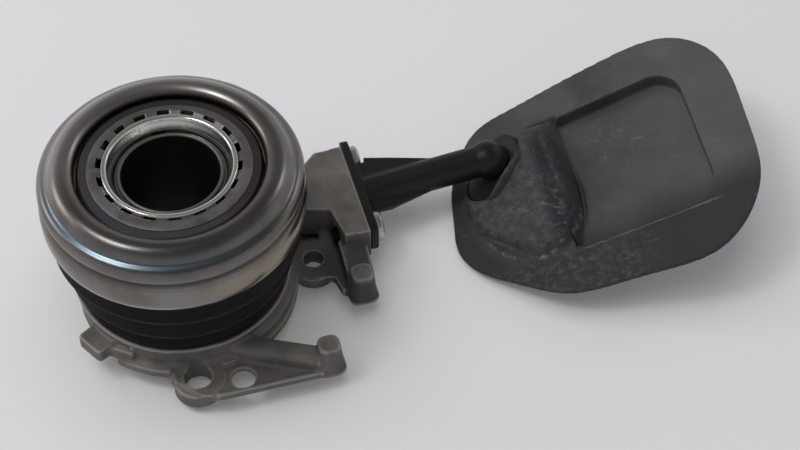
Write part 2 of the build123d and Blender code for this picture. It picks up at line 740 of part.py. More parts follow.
def make_inlet_pipe():
    """The moulded pipe: nozzle, flange, ribs, rising tube, elbow, plate and connector socket."""
    half_t = flange_t / 2
    face = Plane(origin=(block_face_x + seat_gap, port_y, port_z), x_dir=(0, 1, 0), z_dir=(1, 0, 0))
    flange = extrude(face * RectangleRounded(flange_len, flange_h, flange_corner), flange_t - seat_gap)
    nozzle = rod((block_face_x - nozzle_len, port_y, port_z), (block_face_x + half_t, port_y, port_z),
                 port_bore_r - run_gap)
    tube = rod(pipe_start - pipe_dir * half_t, elbow, pipe_r)
    down = dip_direction()
    bend = Plane(origin=elbow, z_dir=down) * elbow_body()
    plate = extrude(plate_frame(plate_shift) * SlotOverall(plate_len, plate_w), -plate_t)
    end = elbow + down * (elbow_len + plate_t + socket_len)
    socket = rod(elbow + down * elbow_len, end, socket_r)
    pipe = flange + nozzle + tube + flange_ribs() + bend + plate + socket
    pipe -= rod((block_face_x - nozzle_len - 1, port_y, port_z), pipe_start, nozzle_bore_r)
    pipe -= rod(pipe_start - pipe_dir * bore_overrun, elbow + pipe_dir * bore_overrun, pipe_bore_r)
    pipe -= rod(elbow - down * bore_overrun, end, connector_bore_r)
    pipe -= rod(end - down * socket_depth, end, seal_seat_r)
    pipe -= rod(end - down * (socket_depth - seal_seat_depth), end + down, socket_bore_r)
    ring_x = block_face_x - nozzle_len + 2.6
    groove = rod((ring_x - o_ring_section / 2 - 0.1, port_y, port_z), (ring_x + o_ring_section / 2 + 0.1, port_y, port_z),
                 port_bore_r + 1)
    core = rod((ring_x - 3, port_y, port_z), (ring_x + 3, port_y, port_z), port_bore_r - o_ring_section - seat_gap)
    pipe -= groove - core
    for side in (-1, 1):
        at = (block_face_x, port_y + side * screw_pitch / 2, port_z)
        pipe -= rod((at[0] - 1, at[1], port_z), (at[0] + flange_t + 1, at[1], port_z), screw_r + run_gap)
        pipe -= rod((at[0] + flange_t, at[1], port_z), (at[0] + flange_t + rib_len, at[1], port_z),
                    screw_head_r + screw_head_gap)
    slot_frame = plate_frame(0, plate_t + clip_depth)
    for side in (-1, 1):
        pipe -= slot_frame * Pos(0, side * clip_offset, 0) * Box(
            2 * socket_r + 2, clip_wire + 0.2, clip_wire + 0.2)
    return pipe


def make_port_seal_ring():
    """The O-ring on the nozzle."""
    ring_x = block_face_x - nozzle_len + 2.6
    ring_r = port_bore_r - o_ring_section / 2
    return Plane(origin=(ring_x, port_y, port_z), z_dir=(1, 0, 0)) * Torus(ring_r - seat_gap / 2, o_ring_section / 2
                                                                           - seat_gap / 2)


def make_connector_seal_ring():
    """The O-ring in its seat at the bottom of the connector socket."""
    down = dip_direction()
    half = connector_ring_section / 2
    spot = elbow + down * (elbow_len + plate_t + socket_len - socket_depth + half + seat_gap)
    return Plane(origin=spot, z_dir=down) * Torus(seal_seat_r - half - seat_gap, half)


def make_connector_clip():
    """The wire clip: two legs through the socket's slots and a bow round its side."""
    frame = plate_frame(0, plate_t + clip_depth)
    far = socket_r + clip_bow_gap + clip_wire / 2
    legs = [(-clip_leg_end, -clip_offset), (far, -clip_offset), (far, clip_offset), (-clip_leg_end, clip_offset)]
    bent = FilletPolyline(*legs, radius=clip_bend_r)
    path = frame * bent
    section = Plane(origin=path @ 0, z_dir=path % 0) * Circle(clip_wire / 2)
    return sweep(section, path=path)


def make_flange_screw(side):
    """A pan-head flange screw with a socket in its head."""
    base = Plane(origin=(block_face_x + flange_t + seat_gap, port_y + side * screw_pitch / 2, port_z),
                 x_dir=(0, 1, 0), z_dir=(1, 0, 0))
    head = Cylinder(screw_head_r, screw_head_h, align=(Align.CENTER, Align.CENTER, Align.MIN))
    head = fillet(head.edges().sort_by(Axis.Z)[-1:], screw_head_h * 0.5)
    shank = Cylinder(screw_r, flange_t + screw_len, align=(Align.CENTER, Align.CENTER, Align.MAX))
    drive = Pos(0, 0, screw_head_h) * extrude(RegularPolygon(screw_drive_r, 6), -screw_drive_depth)
    return base * (head + shank - drive)


# Rubber boot


def boot_frame():
    """Frame in the boot's rim plane: x along its length, y across, z outward."""
    a = math.radians(boot_tilt)
    return Plane(origin=boot_origin, x_dir=(math.cos(a), 0, math.sin(a)), z_dir=(-math.sin(a), 0, math.cos(a)))


def rounded_face(corners):
    """A closed outline whose corners carry their own radii, as (x, y, radius)."""
    face = make_face(Polyline(*[(x, y) for x, y, _ in corners], close=True))
    for x, y, radius in corners:
        spot = face.vertices().sort_by_distance((x, y, 0))[0]
        face = fillet(spot, radius)
    return face


def dome(shrink):
    """The boot's hump; shrink makes the inner surface from the same rings, open below."""
    faces = []
    for height, u, v, half_u, half_v in dome_rings:
        drop = 3 * shrink if height < 0 else (shrink if height > 0 else 0)
        faces.append(Pos(u, v, height - drop) * Ellipse(half_u - shrink, half_v - shrink))
    return loft(faces, ruled=True)


def make_boot():
    """The rubber boot: rim, sunken panel, hollow dome and the slanted seat for the plate."""
    rim = extrude(make_face(Spline(*boot_edge, periodic=True)), -boot_t)
    panel = [(33.0, -27.6, 4), (80.0, -29.6, 12), (84.2, 24.8, 9), (34.0, 23.4, 4)]
    pan_face = rounded_face(panel)
    tray = extrude(offset(pan_face, panel_wall), -panel_depth - panel_floor_t)
    pocket = Pos(0, 0, 5) * extrude(pan_face, -panel_depth - 5)
    shell = rim + tray - pocket
    shell += dome(0.0)
    down = dip_direction()
    to_local = boot_frame().location.inverse()
    seat_frame = plate_frame(plate_shift, plate_t + seat_gap)
    seat = extrude(seat_frame * SlotOverall(plate_len + 2 * seat_margin, plate_w + 2 * seat_margin), -seat_t)
    shell += to_local * seat
    room_top = elbow + down * (elbow_len + plate_t + seat_t)
    room_r = socket_r + connector_room
    shell += to_local * rod(room_top, room_top + down * room_depth, room_r + dome_wall)
    shell -= dome(dome_wall)
    shell -= to_local * rod(room_top, room_top + down * 2 * room_depth, room_r)
    body = boot_frame() * shell
    body -= rod(elbow, elbow + down * 40, socket_r + run_gap)
    outline = SlotOverall(plate_len + 2 * plate_gap, plate_w + 2 * plate_gap)
    air = extrude(plate_frame(plate_shift, plate_t + seat_gap) * outline, plate_t + elbow_len + 2 * elbow_r)
    below = Pos(boot_origin[0] + 50, 0, -hub_depth - 20) * Box(200, 200, 40)
    return body - air - below


MAKERS = {
    "housing": make_housing,
    "guide_tube": make_guide_tube,
    "stop_ring": make_stop_ring,
    "base_seal_ring": make_base_seal_ring,
    "piston": make_piston,
    "piston_seal": make_piston_seal,
    "bearing_carrier": make_carrier,
    "preload_spring": make_preload_spring,
    "bellows": make_bellows,
    "inner_race": make_inner_race,
    "outer_race": make_outer_race,
    "balls": make_balls,
    "ball_cage": make_cage,
    "bearing_cover": make_cover,
    "lower_seal": make_lower_seal,
    "slotted_washer": make_slotted_washer,
    "spring_washer": make_spring_washer,
    "bearing_sleeve": make_sleeve,
    "inlet_pipe": make_inlet_pipe,
    "port_seal_ring": make_port_seal_ring,
    "connector_seal_ring": make_connector_seal_ring,
    "connector_clip": make_connector_clip,
    "rubber_boot": make_boot,
}

for name, maker in MAKERS.items():
    export_step(maker(), f"parts/{name}.step")
for side, label in ((1, "upper"), (-1, "lower")):
    export_step(make_flange_screw(side), f"parts/flange_screw_{label}.step")
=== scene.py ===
import json
import logging
import math
from collections.abc import Iterator
from contextlib import contextmanager
from dataclasses import dataclass
from enum import Enum

import bpy
from mathutils import Matrix, Vector


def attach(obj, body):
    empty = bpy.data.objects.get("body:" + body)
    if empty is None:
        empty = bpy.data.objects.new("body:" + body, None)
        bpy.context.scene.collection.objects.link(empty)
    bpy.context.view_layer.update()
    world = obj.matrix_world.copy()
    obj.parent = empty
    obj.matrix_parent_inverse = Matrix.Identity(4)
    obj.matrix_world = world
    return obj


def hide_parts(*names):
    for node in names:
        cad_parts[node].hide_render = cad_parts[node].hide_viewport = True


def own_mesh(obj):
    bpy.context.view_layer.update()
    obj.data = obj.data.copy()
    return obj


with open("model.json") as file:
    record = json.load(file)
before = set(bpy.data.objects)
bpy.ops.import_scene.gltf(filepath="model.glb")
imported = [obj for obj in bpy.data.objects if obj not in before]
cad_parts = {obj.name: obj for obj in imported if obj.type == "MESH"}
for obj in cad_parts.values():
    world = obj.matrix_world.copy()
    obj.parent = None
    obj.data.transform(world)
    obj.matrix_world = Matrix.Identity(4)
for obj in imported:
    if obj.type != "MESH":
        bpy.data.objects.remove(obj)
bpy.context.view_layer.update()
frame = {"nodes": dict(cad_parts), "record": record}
LOG = logging.getLogger("release_bearing")
MM = 0.001
Piece = bpy.types.Object
Material = bpy.types.Material
Colour = tuple[float, float, float]
Outline = tuple[tuple[float, float], ...]
Place3 = tuple[float, float, float]
MERGE = 1e-6
BOOT_TILT = math.radians(17.0)
BOOT_ORIGIN = (0.08705, 0.0034, 0.0002)
BOOT_WAYS = ((math.cos(BOOT_TILT), 0.0, math.sin(BOOT_TILT)), (0.0, 1.0, 0.0),
             (-math.sin(BOOT_TILT), 0.0, math.cos(BOOT_TILT)))


# Shader nodes


class Sock:
    """A shader socket that adds Math nodes when it stands in an expression."""

    def __init__(self, graph: "Graph", socket: bpy.types.NodeSocket) -> None:
        """Keeps the socket and the graph that it belongs to."""
        self.graph = graph
        self.socket = socket

    def sibling(self, name: str) -> "Sock":
        """Another output of the same node."""
        return Sock(self.graph, self.socket.node.outputs[name])

    def __add__(self, other: "Sock | float") -> "Sock":
        """Sum of both values."""
        return self.graph.calc("ADD", self, other)

    __radd__ = __add__

    def __mul__(self, other: "Sock | float") -> "Sock":
        """Product of both values."""
        return self.graph.calc("MULTIPLY", self, other)

    __rmul__ = __mul__

    def __sub__(self, other: "Sock | float") -> "Sock":
        """This value less the other."""
        return self.graph.calc("SUBTRACT", self, other)

    def __rsub__(self, other: float) -> "Sock":
        """A number less this value."""
        return self.graph.calc("SUBTRACT", other, self)

    def __truediv__(self, other: "Sock | float") -> "Sock":
        """This value over the other."""
        return self.graph.calc("DIVIDE", self, other)


class Graph:
    """The node tree of a material or world, with short ways to add its nodes."""

    def __init__(self, name: str, library: bpy.types.bpy_prop_collection | None = None) -> None:
        """Starts an empty material, or an empty world.

        Args:
            name: Its name.
            library: Where Blender keeps it, which is among the materials unless told otherwise.
        """
        library = bpy.data.materials if library is None else library
        self.owner = library.new(name)
        self.owner.use_nodes = True
        self.tree = self.owner.node_tree
        self.tree.nodes.clear()

    def node(self, kind: str, settings: dict | None = None, sockets: dict | None = None,
             output: str | int = 0) -> Sock:
        """Adds a node.

        Args:
            kind: The node's type.
            settings: Its own settings, or the stops of its ramp.
            sockets: A value or a Sock for each input, by name or number.
            output: The output to return.

        Returns:
            The chosen output.
        """
        made = self.tree.nodes.new(kind)
        for key, value in (settings or {}).items():
            if key == "stops":
                self.set_stops(made.color_ramp, value)
            else:
                setattr(made, key, value)
        for key, value in (sockets or {}).items():
            if isinstance(value, Sock):
                self.tree.links.new(value.socket, made.inputs[key])
            elif isinstance(value, tuple) and made.inputs[key].type == "RGBA":
                made.inputs[key].default_value = (*value, 1.0)
            else:
                made.inputs[key].default_value = value
        return Sock(self, made.outputs[output])

    def set_stops(self, ramp: bpy.types.ColorRamp, stops: list[tuple[float, Colour]]) -> None:
        """Puts colour stops on a ramp.

        Args:
            ramp: The ramp to fill.
            stops: Place and colour of each stop, in order.
        """
        while len(ramp.elements) < len(stops):
            ramp.elements.new(1.0)
        for element, (place, colour) in zip(ramp.elements, stops):
            element.position = place
            element.color = (*colour, 1.0)

    def calc(self, operation: str, first: Sock | float, second: Sock | float) -> Sock:
        """A Math node on two values."""
        return self.node("ShaderNodeMath", {"operation": operation}, {0: first, 1: second})

    def place(self) -> Sock:
        """The piece's own coordinates, in metres."""
        return self.node("ShaderNodeTexCoord", output="Object")

    def split(self, vector: Sock) -> tuple[Sock, Sock, Sock]:
        """The three parts of a vector."""
        first = self.node("ShaderNodeSeparateXYZ", sockets={0: vector}, output="X")
        return first, first.sibling("Y"), first.sibling("Z")

    def joined(self, x: Sock | float, y: Sock | float, z: Sock | float) -> Sock:
        """A vector from three values."""
        return self.node("ShaderNodeCombineXYZ", sockets={0: x, 1: y, 2: z})

    def turned(self, vector: Sock, turn: Place3, scale: Place3 = (1.0, 1.0, 1.0)) -> Sock:
        """Stretches coordinates and turns them.

        Args:
            vector: The coordinates.
            turn: Angles in degrees.
            scale: Factors along the axes.

        Returns:
            The new coordinates.
        """
        radians = tuple(math.radians(angle) for angle in turn)
        return self.node("ShaderNodeMapping", {"vector_type": "POINT"},
                         {"Vector": vector, "Rotation": radians, "Scale": scale})

    def noise(self, vector: Sock, scale: float, detail: float = 4.0, roughness: float = 0.6,
              distortion: float = 0.0) -> Sock:
        """Noise from 0 to 1, with features about 1 over scale metres wide."""
        return self.node("ShaderNodeTexNoise", None,
                         {"Vector": vector, "Scale": scale, "Detail": detail, "Roughness": roughness,
                          "Distortion": distortion}, "Fac")

    def step(self, value: Sock, low: float, high: float) -> Sock:
        """A smooth step between two values.

        Args:
            value: What is measured.
            low: Where the step is 0.
            high: Where it is 1, which may be the lower number.

        Returns:
            The step.
        """
        if low > high:
            return 1.0 - self.step(value, high, low)
        return self.node("ShaderNodeMapRange", {"interpolation_type": "SMOOTHSTEP"},
                         {"Value": value, "From Min": low, "From Max": high})

    def band(self, value: Sock, middle: float, half: float) -> Sock:
        """1 at the middle, falling smoothly to 0 at a half width away."""
        away = self.calc("ABSOLUTE", value - middle, 0.0)
        return self.step(away, half, 0.0)

    def tint(self, factor: Sock | float, first: Sock | Colour, second: Sock | Colour) -> Sock:
        """A colour between two others."""
        return self.node("ShaderNodeMix", {"data_type": "RGBA"}, {0: factor, 6: first, 7: second}, 2)

    def ramp(self, value: Sock, stops: list[tuple[float, Colour]]) -> Sock:
        """A colour from a ramp."""
        return self.node("ShaderNodeValToRGB", {"stops": stops}, {0: value}, "Color")

    def bump(self, height: Sock, distance: float, strength: float = 1.0) -> Sock:
        """A normal from a height of 0 to 1 and its size in metres."""
        sockets = {"Height": height, "Distance": distance, "Strength": strength}
        return self.node("ShaderNodeBump", None, sockets, "Normal")

    def edges(self, low: float, high: float) -> Sock:
        """1 on outer edges and 0 on flats, from the mesh."""
        return self.step(self.node("ShaderNodeNewGeometry", output="Pointiness"), low, high)

    def round_axis(self) -> tuple[Sock, Sock, Sock, Sock]:
        """Coordinates about the bearing's axis.

        Returns:
            Radius, the direction's parts to the east and north, and height.
        """
        x, y, z = self.split(self.place())
        radius = self.length(self.joined(x, y, 0.0))
        return radius, x / radius, y / radius, z

    def length(self, vector: Sock) -> Sock:
        """The length of a vector."""
        return self.node("ShaderNodeVectorMath", {"operation": "LENGTH"}, {0: vector}, "Value")

    def limit(self, value: Sock) -> Sock:
        """The value held between 0 and 1."""
        return self.node("ShaderNodeClamp", None, {0: value})

    def along(self, origin: Place3, ways: tuple[Place3, Place3, Place3]) -> tuple[Sock, Sock, Sock]:
        """Distances in millimetres from a point along three directions.

        Args:
            origin: The point, in metres.
            ways: The three unit vectors.

        Returns:
            One distance for each direction.
        """
        moved = self.node("ShaderNodeVectorMath", {"operation": "SUBTRACT"}, {0: self.place(), 1: origin})
        found = [self.node("ShaderNodeVectorMath", {"operation": "DOT_PRODUCT"}, {0: moved, 1: way}, "Value")
                 for way in ways]
        return found[0] * 1000.0, found[1] * 1000.0, found[2] * 1000.0

    def finish(self, **sockets: "Sock | float | Colour") -> Material:
        """Closes the graph with its Principled shader.

        Args:
            **sockets: The shader's inputs, with underscores for spaces.

        Returns:
            The finished material.
        """
        named = {key.replace("_", " "): value for key, value in sockets.items()}
        return self.close("ShaderNodeOutputMaterial", self.node("ShaderNodeBsdfPrincipled", None, named))

    def close(self, kind: str, surface: Sock) -> Material | bpy.types.World:
        """Links the last shader to an output.

        Args:
            kind: The output node's type.
            surface: The last shader.

        Returns:
            The finished material or world.
        """
        output = self.tree.nodes.new(kind)
        self.tree.links.new(surface.socket, output.inputs["Surface"])
        return self.owner


# Finishes


@dataclass(frozen=True)
class CastAluminium:
    """Matt grey-brown die casting with stains, fine grain, rubbed edges lightened also as painted highlight,
    and painted shade in creases and low on the inlet side.
    """

    base: Colour = (0.168, 0.157, 0.142)
    dark: Colour = (0.098, 0.092, 0.083)
    stain_and_shade: Colour = (0.045, 0.042, 0.038)
    rubbed_and_highlight: Colour = (0.300, 0.290, 0.270)

    def make(self) -> Material:
        """Mixes the finish.

        Returns:
            The finished material.
        """
        g = Graph("cast_aluminium")
        at = g.place()
        x, y, z = g.split(at)
        patches = g.noise(at, 110)
        grain = g.noise(at, 2600, 2)
        pitting = g.noise(at, 800, 3)
        stains = g.step(g.noise(at, 55, 5, 0.62), 0.56, 0.70)
        # oil stains mixed with painted shade, low on the inlet side beside the block
        oil_and_shade = g.step(x, 0.032, 0.044) * g.step(y, 0.012, -0.008) * g.step(z, 0.0135, 0.0105)
        colour = g.tint(g.step(patches, 0.30, 0.70), self.dark, self.base)
        colour = g.tint(stains * 0.4, colour, self.stain_and_shade)
        colour = g.tint(oil_and_shade * g.step(patches, 0.20, 0.45) * 0.85, colour, self.stain_and_shade)
        # rubbed convex edges, lightened also as a painted highlight along every edge
        colour = g.tint(g.edges(0.508, 0.55) * 0.75, colour, self.rubbed_and_highlight)
        # painted shade in creases and concave corners
        colour = g.tint(g.edges(0.48, 0.43) * 0.7, colour, self.stain_and_shade)
        colour = g.tint(g.step(grain, 0.60, 0.85) * 0.2, colour, self.rubbed_and_highlight)
        height = grain * 0.35 + pitting * 0.65
        return g.finish(Base_Color=colour, Metallic=0.30, Roughness=0.46 + 0.22 * patches,
                        Specular_IOR_Level=0.35, Normal=g.bump(height, 0.00012, 0.55))


@dataclass(frozen=True)
class CoverSteel:
    """Pressed steel, brown and heat tinted, satin, with a bright lower edge, painted highlight and reflection
    on the crest, valley and lower band, and painted shade on the front, in the groove and at the mouth.
    """

    base: Colour = (0.215, 0.210, 0.203)
    brown: Colour = (0.160, 0.143, 0.130)
    blue: Colour = (0.170, 0.230, 0.270)
    bright: Colour = (0.520, 0.510, 0.480)
    straw_and_reflection: Colour = (0.300, 0.255, 0.165)
    hollow_shade: Colour = (0.030, 0.027, 0.026)
    rubbed_and_highlight: Colour = (0.480, 0.460, 0.440)
    dark: Colour = (0.100, 0.100, 0.105)

    def make(self) -> Material:
        """Mixes the finish.

        Returns:
            The finished material.
        """
        g = Graph("cover_steel")
        radius, east, north, z = g.round_axis()
        hoop = g.noise(g.joined(radius * 700.0, z * 700.0, east * 1.2 + north * 0.8), 1.0, 3)
        cloud = g.noise(g.place(), 55)
        speck = g.noise(g.place(), 1500, 2)
        colour = g.tint(g.step(cloud, 0.35, 0.65), self.base, self.brown)
        colour = g.tint(g.step(hoop, 0.50, 0.80) * 0.30, colour, self.straw_and_reflection)
        # painted highlight on the back and left of the crest
        crest = g.step(z, 0.0560, 0.0590)
        colour = g.tint(g.step(north - 0.4 * east, 0.0, 0.9) * crest * 0.75, colour, self.rubbed_and_highlight)
        # painted shade on the upper front of the cover, standing in for a dark reflection
        colour = g.tint(g.step(north, -0.35, -0.95) * g.step(z, 0.0530, 0.0560) * 0.45, colour, self.dark)
        # blue in the valley at the front left: heat tint mixed with a painted bluish reflection streak
        left = g.step(0.64 * east + 0.77 * north, -0.35, -0.85)
        valley = g.band(radius, 36.2 * MM, 1.5 * MM) * g.step(z, 0.0560, 0.0578)
        colour = g.tint(valley * left * 0.9, colour, self.blue)
        inner = g.step(radius, 0.0305, 0.0285) * g.step(z, 0.0585, 0.0605)
        colour = g.tint(inner * 0.5, colour, self.brown)
        # painted yellowish reflection of the floor on the lower band at the right front; the hoop marks above
        # are straw heat tint
        right = g.step(0.80 * east - 0.60 * north, 0.45, 0.95)
        lower = g.band(z, 46.0 * MM, 7.0 * MM)
        colour = g.tint(lower * right * 0.75, colour, self.straw_and_reflection)
        colour = g.tint(g.step(z, 0.0440, 0.0418) * 0.85, colour, self.bright)
        # painted shade in the groove under the bead
        groove = g.band(z, 52.0 * MM, 1.3 * MM) * g.step(radius, 0.0372, 0.0376)
        colour = g.tint(groove * 0.75, colour, self.hollow_shade)
        # painted shade on the mouth's inner lip, where it drops into the recess
        mouth = g.step(radius, 0.0289, 0.0279) * g.step(z, 0.0613, 0.0604)
        colour = g.tint(mouth * 0.92, colour, self.hollow_shade)
        colour = g.tint(g.step(speck, 0.62, 0.80) * 0.22, colour, self.bright)
        height = hoop * 0.4 + speck * 0.6
        polished = g.step(z, 0.0515, 0.0500) * 0.09
        roughness = 0.19 + 0.10 * hoop + 0.12 * cloud - polished
        return g.finish(Base_Color=colour, Metallic=1.0, Roughness=roughness,
                        Normal=g.bump(height, 0.00003, 0.5))


@dataclass(frozen=True)
class BrightZinc:
    """Bright turned zinc with fine rings, near-black below a given x in metres."""

    name: str = "bright_zinc"
    base: Colour = (0.760, 0.755, 0.715)
    dull: Colour = (0.420, 0.415, 0.380)
    roughness: float = 0.14
    darkened_below_x: float = -1.0
    near_black: Colour = (0.010, 0.010, 0.010)

    def make(self) -> Material:
        """Mixes the finish.

        Returns:
            The finished material.
        """
        g = Graph(self.name)
        radius, east, north, z = g.round_axis()
        rings = g.noise(g.joined(radius * 2200.0, z * 2200.0, east * 0.8 + north * 0.6), 1.0, 2, 0.5)
        worn = g.noise(g.place(), 260, 4, 0.65)
        colour = g.tint(g.step(worn, 0.50, 0.75) * 0.55, self.base, self.dull)
        colour = g.tint(g.step(rings, 0.55, 0.8) * 0.35, colour, self.dull)
        # near-black below that x, where the screw tips sit in the block's recess
        darkened = g.step(east * radius, self.darkened_below_x, self.darkened_below_x - 1.0 * MM)
        colour = g.tint(darkened, colour, self.near_black)
        return g.finish(Base_Color=colour, Metallic=1.0, Roughness=self.roughness + 0.18 * worn,
                        Normal=g.bump(rings, 0.000015, 0.5))


@dataclass(frozen=True)
class WasherSteel:
    """Dark satin washer whose tabs are rubbed bright towards the sleeve."""

    base: Colour = (0.330, 0.315, 0.310)
    shade: Colour = (0.190, 0.176, 0.170)
    worn: Colour = (0.520, 0.515, 0.495)

    def make(self) -> Material:
        """Mixes the finish.

        Returns:
            The finished material.
        """
        g = Graph("washer_steel")
        radius, east, north, z = g.round_axis()
        hoop = g.noise(g.joined(radius * 1500.0, z * 1500.0, east + north * 0.7), 1.0, 3)
        cloud = g.noise(g.place(), 120)
        speck = g.noise(g.place(), 1800, 2)
        colour = g.tint(g.step(cloud, 0.40, 0.70), self.base, self.shade)
        # painted shade on the far side of the washer
        colour = g.tint(g.step(0.8 * north + 0.3 * east, -0.2, 0.9) * 0.6, colour, self.shade)
        colour = g.tint(g.step(z, 0.05895, 0.05870) * 0.85, colour, self.worn)
        colour = g.tint(g.step(speck, 0.62, 0.82) * 0.20, colour, self.worn)
        return g.finish(Base_Color=colour, Metallic=1.0, Roughness=0.32 + 0.18 * cloud,
                        Normal=g.bump(hoop * 0.5 + speck * 0.5, 0.00003, 0.5))


@dataclass(frozen=True)
class RaceSteel:
    """Ground bearing steel with blue and red-brown heat tints round the top face."""

    base: Colour = (0.150, 0.140, 0.137)
    blue: Colour = (0.140, 0.158, 0.172)
    rust: Colour = (0.105, 0.080, 0.076)
    shade: Colour = (0.070, 0.062, 0.062)

    def make(self) -> Material:
        """Mixes the finish.

        Returns:
            The finished material.
        """
        g = Graph("race_steel")
        radius, east, north, z = g.round_axis()
        hoop = g.noise(g.joined(radius * 1500.0, z * 1500.0, east + north * 0.7), 1.0, 3)
        cloud = g.noise(g.place(), 110)
        front = g.step(0.60 * east + 0.80 * north + cloud * 0.4, -0.25, -0.75)
        colour = g.tint(front * 0.85, self.base, self.blue)
        right = g.step(0.9 * east - 0.2 * north + cloud * 0.4, 0.6, 1.1)
        colour = g.tint(right * 0.8, colour, self.rust)
        # painted shade on the far side of the race, under the cover's wall
        back = g.step(north + cloud * 0.3, 0.5, 1.2)
        colour = g.tint(back * 0.6, colour, self.shade)
        return g.finish(Base_Color=colour, Metallic=1.0, Roughness=0.26 + 0.20 * cloud,
                        Normal=g.bump(hoop, 0.00003, 0.5))


@dataclass(frozen=True)
class BellowsRubber:
    """Matt black rubber with dust on the fold lines."""

    base: Colour = (0.0036, 0.0032, 0.0035)
    dust: Colour = (0.040, 0.038, 0.037)

    def make(self) -> Material:
        """Mixes the finish.

        Returns:
            The finished material.
        """
        g = Graph("bellows_rubber")
        radius, east, north, z = g.round_axis()
        cloud = g.noise(g.place(), 150, 4, 0.65)
        streak = g.noise(g.joined(east * 9.0, north * 9.0, z * 900.0), 1.0, 3)
        crests = g.band(z, 33.7 * MM, 0.7 * MM) + g.band(z, 23.2 * MM, 0.7 * MM)
        dusty = crests * g.step(cloud, 0.35, 0.7) * 0.9 + g.step(streak, 0.6, 0.85) * 0.25
        colour = g.tint(dusty, self.base, self.dust)
        grain = g.noise(g.place(), 2500, 2)
        return g.finish(Base_Color=colour, Roughness=0.45 + 0.25 * cloud, Specular_IOR_Level=0.14,
                        Normal=g.bump(grain, 0.00005, 0.4))


@dataclass(frozen=True)
class BootRubber:
    """Dark grey moulded rubber with scratches, chalky scuffs, a stained ridge deepened by painted shade on
    its steep flank, and a painted highlight along the pocket's edge.
    """

    base: Colour = (0.064, 0.062, 0.060)
    dark: Colour = (0.040, 0.039, 0.038)
    deep: Colour = (0.018, 0.018, 0.018)
    pale: Colour = (0.092, 0.089, 0.086)
    bloom: Colour = (0.052, 0.057, 0.061)
    chalk_and_highlight: Colour = (0.175, 0.180, 0.178)
    stain_and_shade: Colour = (0.006, 0.007, 0.010)

    def make(self) -> Material:
        """Mixes the finish.

        Returns:
            The finished material.
        """
        g = Graph("boot_rubber")
        u, v, w = g.along(BOOT_ORIGIN, BOOT_WAYS)
        flat = g.joined(u, v, w)
        cloud = g.noise(flat, 0.05, 5, 0.62)
        fine = g.noise(flat, 0.42, 4, 0.7)
        colour = g.tint(g.step(cloud, 0.32, 0.66), self.dark, self.base)
        low_side = g.limit(g.step(v, -14.0, -30.0) + g.step(u, 14.0, 4.0))
        colour = g.tint(g.step(u, 58.0, 86.0) * 0.5, colour, self.pale)
        colour = g.tint(low_side * 0.90, colour, self.deep)
        dome = g.step(self.reach(g, u, v, 24.0, 0.0, 20.0, 26.0), 1.05, 0.80)
        colour = g.tint(dome * 0.70, colour, self.deep)
        flank = g.step(u + v * -0.06, 40.5, 35.5)
        colour = g.tint(dome * g.step(fine, 0.36, 0.66) * flank * 0.75, colour, self.bloom)
        # stain on the hump's steep right flank, deepened as painted shade
        ridge = g.band(u - v * 0.10 + fine * 7.0, 36.5, 5.0) * g.step(v, 19.0, 10.0) * dome
        colour = g.tint(ridge * 0.85, colour, self.stain_and_shade)
        patch = g.step(self.reach(g, u, v, 59.0, 10.0, 15.0, 16.0) + fine * 0.5, 1.25, 0.75)
        upper = g.step(v - u * 0.05, 24.0, 29.0) * g.step(cloud, 0.42, 0.60)
        lower = g.step(v, -22.0, -28.0) * g.step(u, 62.0, 40.0) * g.step(fine, 0.44, 0.60)
        rim = g.step(cloud, 0.50, 0.66) * 0.6
        zones = g.limit(patch + upper + lower + rim + dome * 0.55)
        lines = self.scratches(g, flat, 38.0, 0.9) + self.scratches(g, flat, -52.0, 1.3) \
            + self.scratches(g, flat, 8.0, 1.1)
        colour = g.tint(g.limit(lines) * zones * g.step(fine, 0.36, 0.62) * 0.42, colour, self.chalk_and_highlight)
        colour = g.tint(lower * 0.45, colour, self.bloom)
        foot = g.band(self.reach(g, u, v, 23.4, -0.6, 17.6, 24.4), 1.0, 0.035) * g.step(v, -8.0, -14.0)
        colour = g.tint(foot * g.step(fine, 0.50, 0.62) * 0.5, colour, self.chalk_and_highlight)
        colour = g.tint(g.edges(0.52, 0.60) * 0.22, colour, self.chalk_and_highlight)
        low_edge = v + 0.0426 * (u - 33.0) + 27.6
        along_pan = g.step(u, 35.0, 37.0) * g.step(u, 82.0, 76.0)
        shadow = g.band(low_edge, 1.4, 1.6) * along_pan * g.step(w, -0.4, -1.0)
        colour = g.tint(shadow * 0.8, colour, self.deep)
        # painted highlight along the pocket's lower edge, in the chalk colour
        bright = g.band(low_edge, -0.35, 0.5) * along_pan * g.step(fine, 0.30, 0.50)
        colour = g.tint(bright * 0.5, colour, self.chalk_and_highlight)
        grain = g.noise(flat, 2.2, 2)
        return g.finish(Base_Color=colour, Roughness=0.50 + 0.22 * cloud, Specular_IOR_Level=0.32,
                        Normal=g.bump(grain * 0.5 + fine * 0.5, 0.00008, 0.45))

    def reach(self, g: Graph, u: Sock, v: Sock, u0: float, v0: float, half_u: float, half_v: float) -> Sock:
        """Distance from a point in the boot's plane, 1 on an ellipse of the given half sizes."""
        return g.length(g.joined((u - u0) / half_u, (v - v0) / half_v, 0.0))

    def scratches(self, g: Graph, flat: Sock, angle: float, scale: float) -> Sock:
        """Thin broken scratches that run at an angle in the boot's plane.

        Args:
            g: The material's graph.
            flat: The place in the boot's own frame, in millimetres.
            angle: Their direction in degrees.
            scale: How close they lie.

        Returns:
            1 on the scratches, 0 beside them.
        """
        spin = g.turned(flat, (0.0, 0.0, angle))
        drawn = g.node("ShaderNodeVectorMath", {"operation": "MULTIPLY"}, {0: spin, 1: (0.10, 1.0, 1.0)})
        return g.step(g.noise(drawn, scale, 4, 0.7, 1.2), 0.57, 0.70)


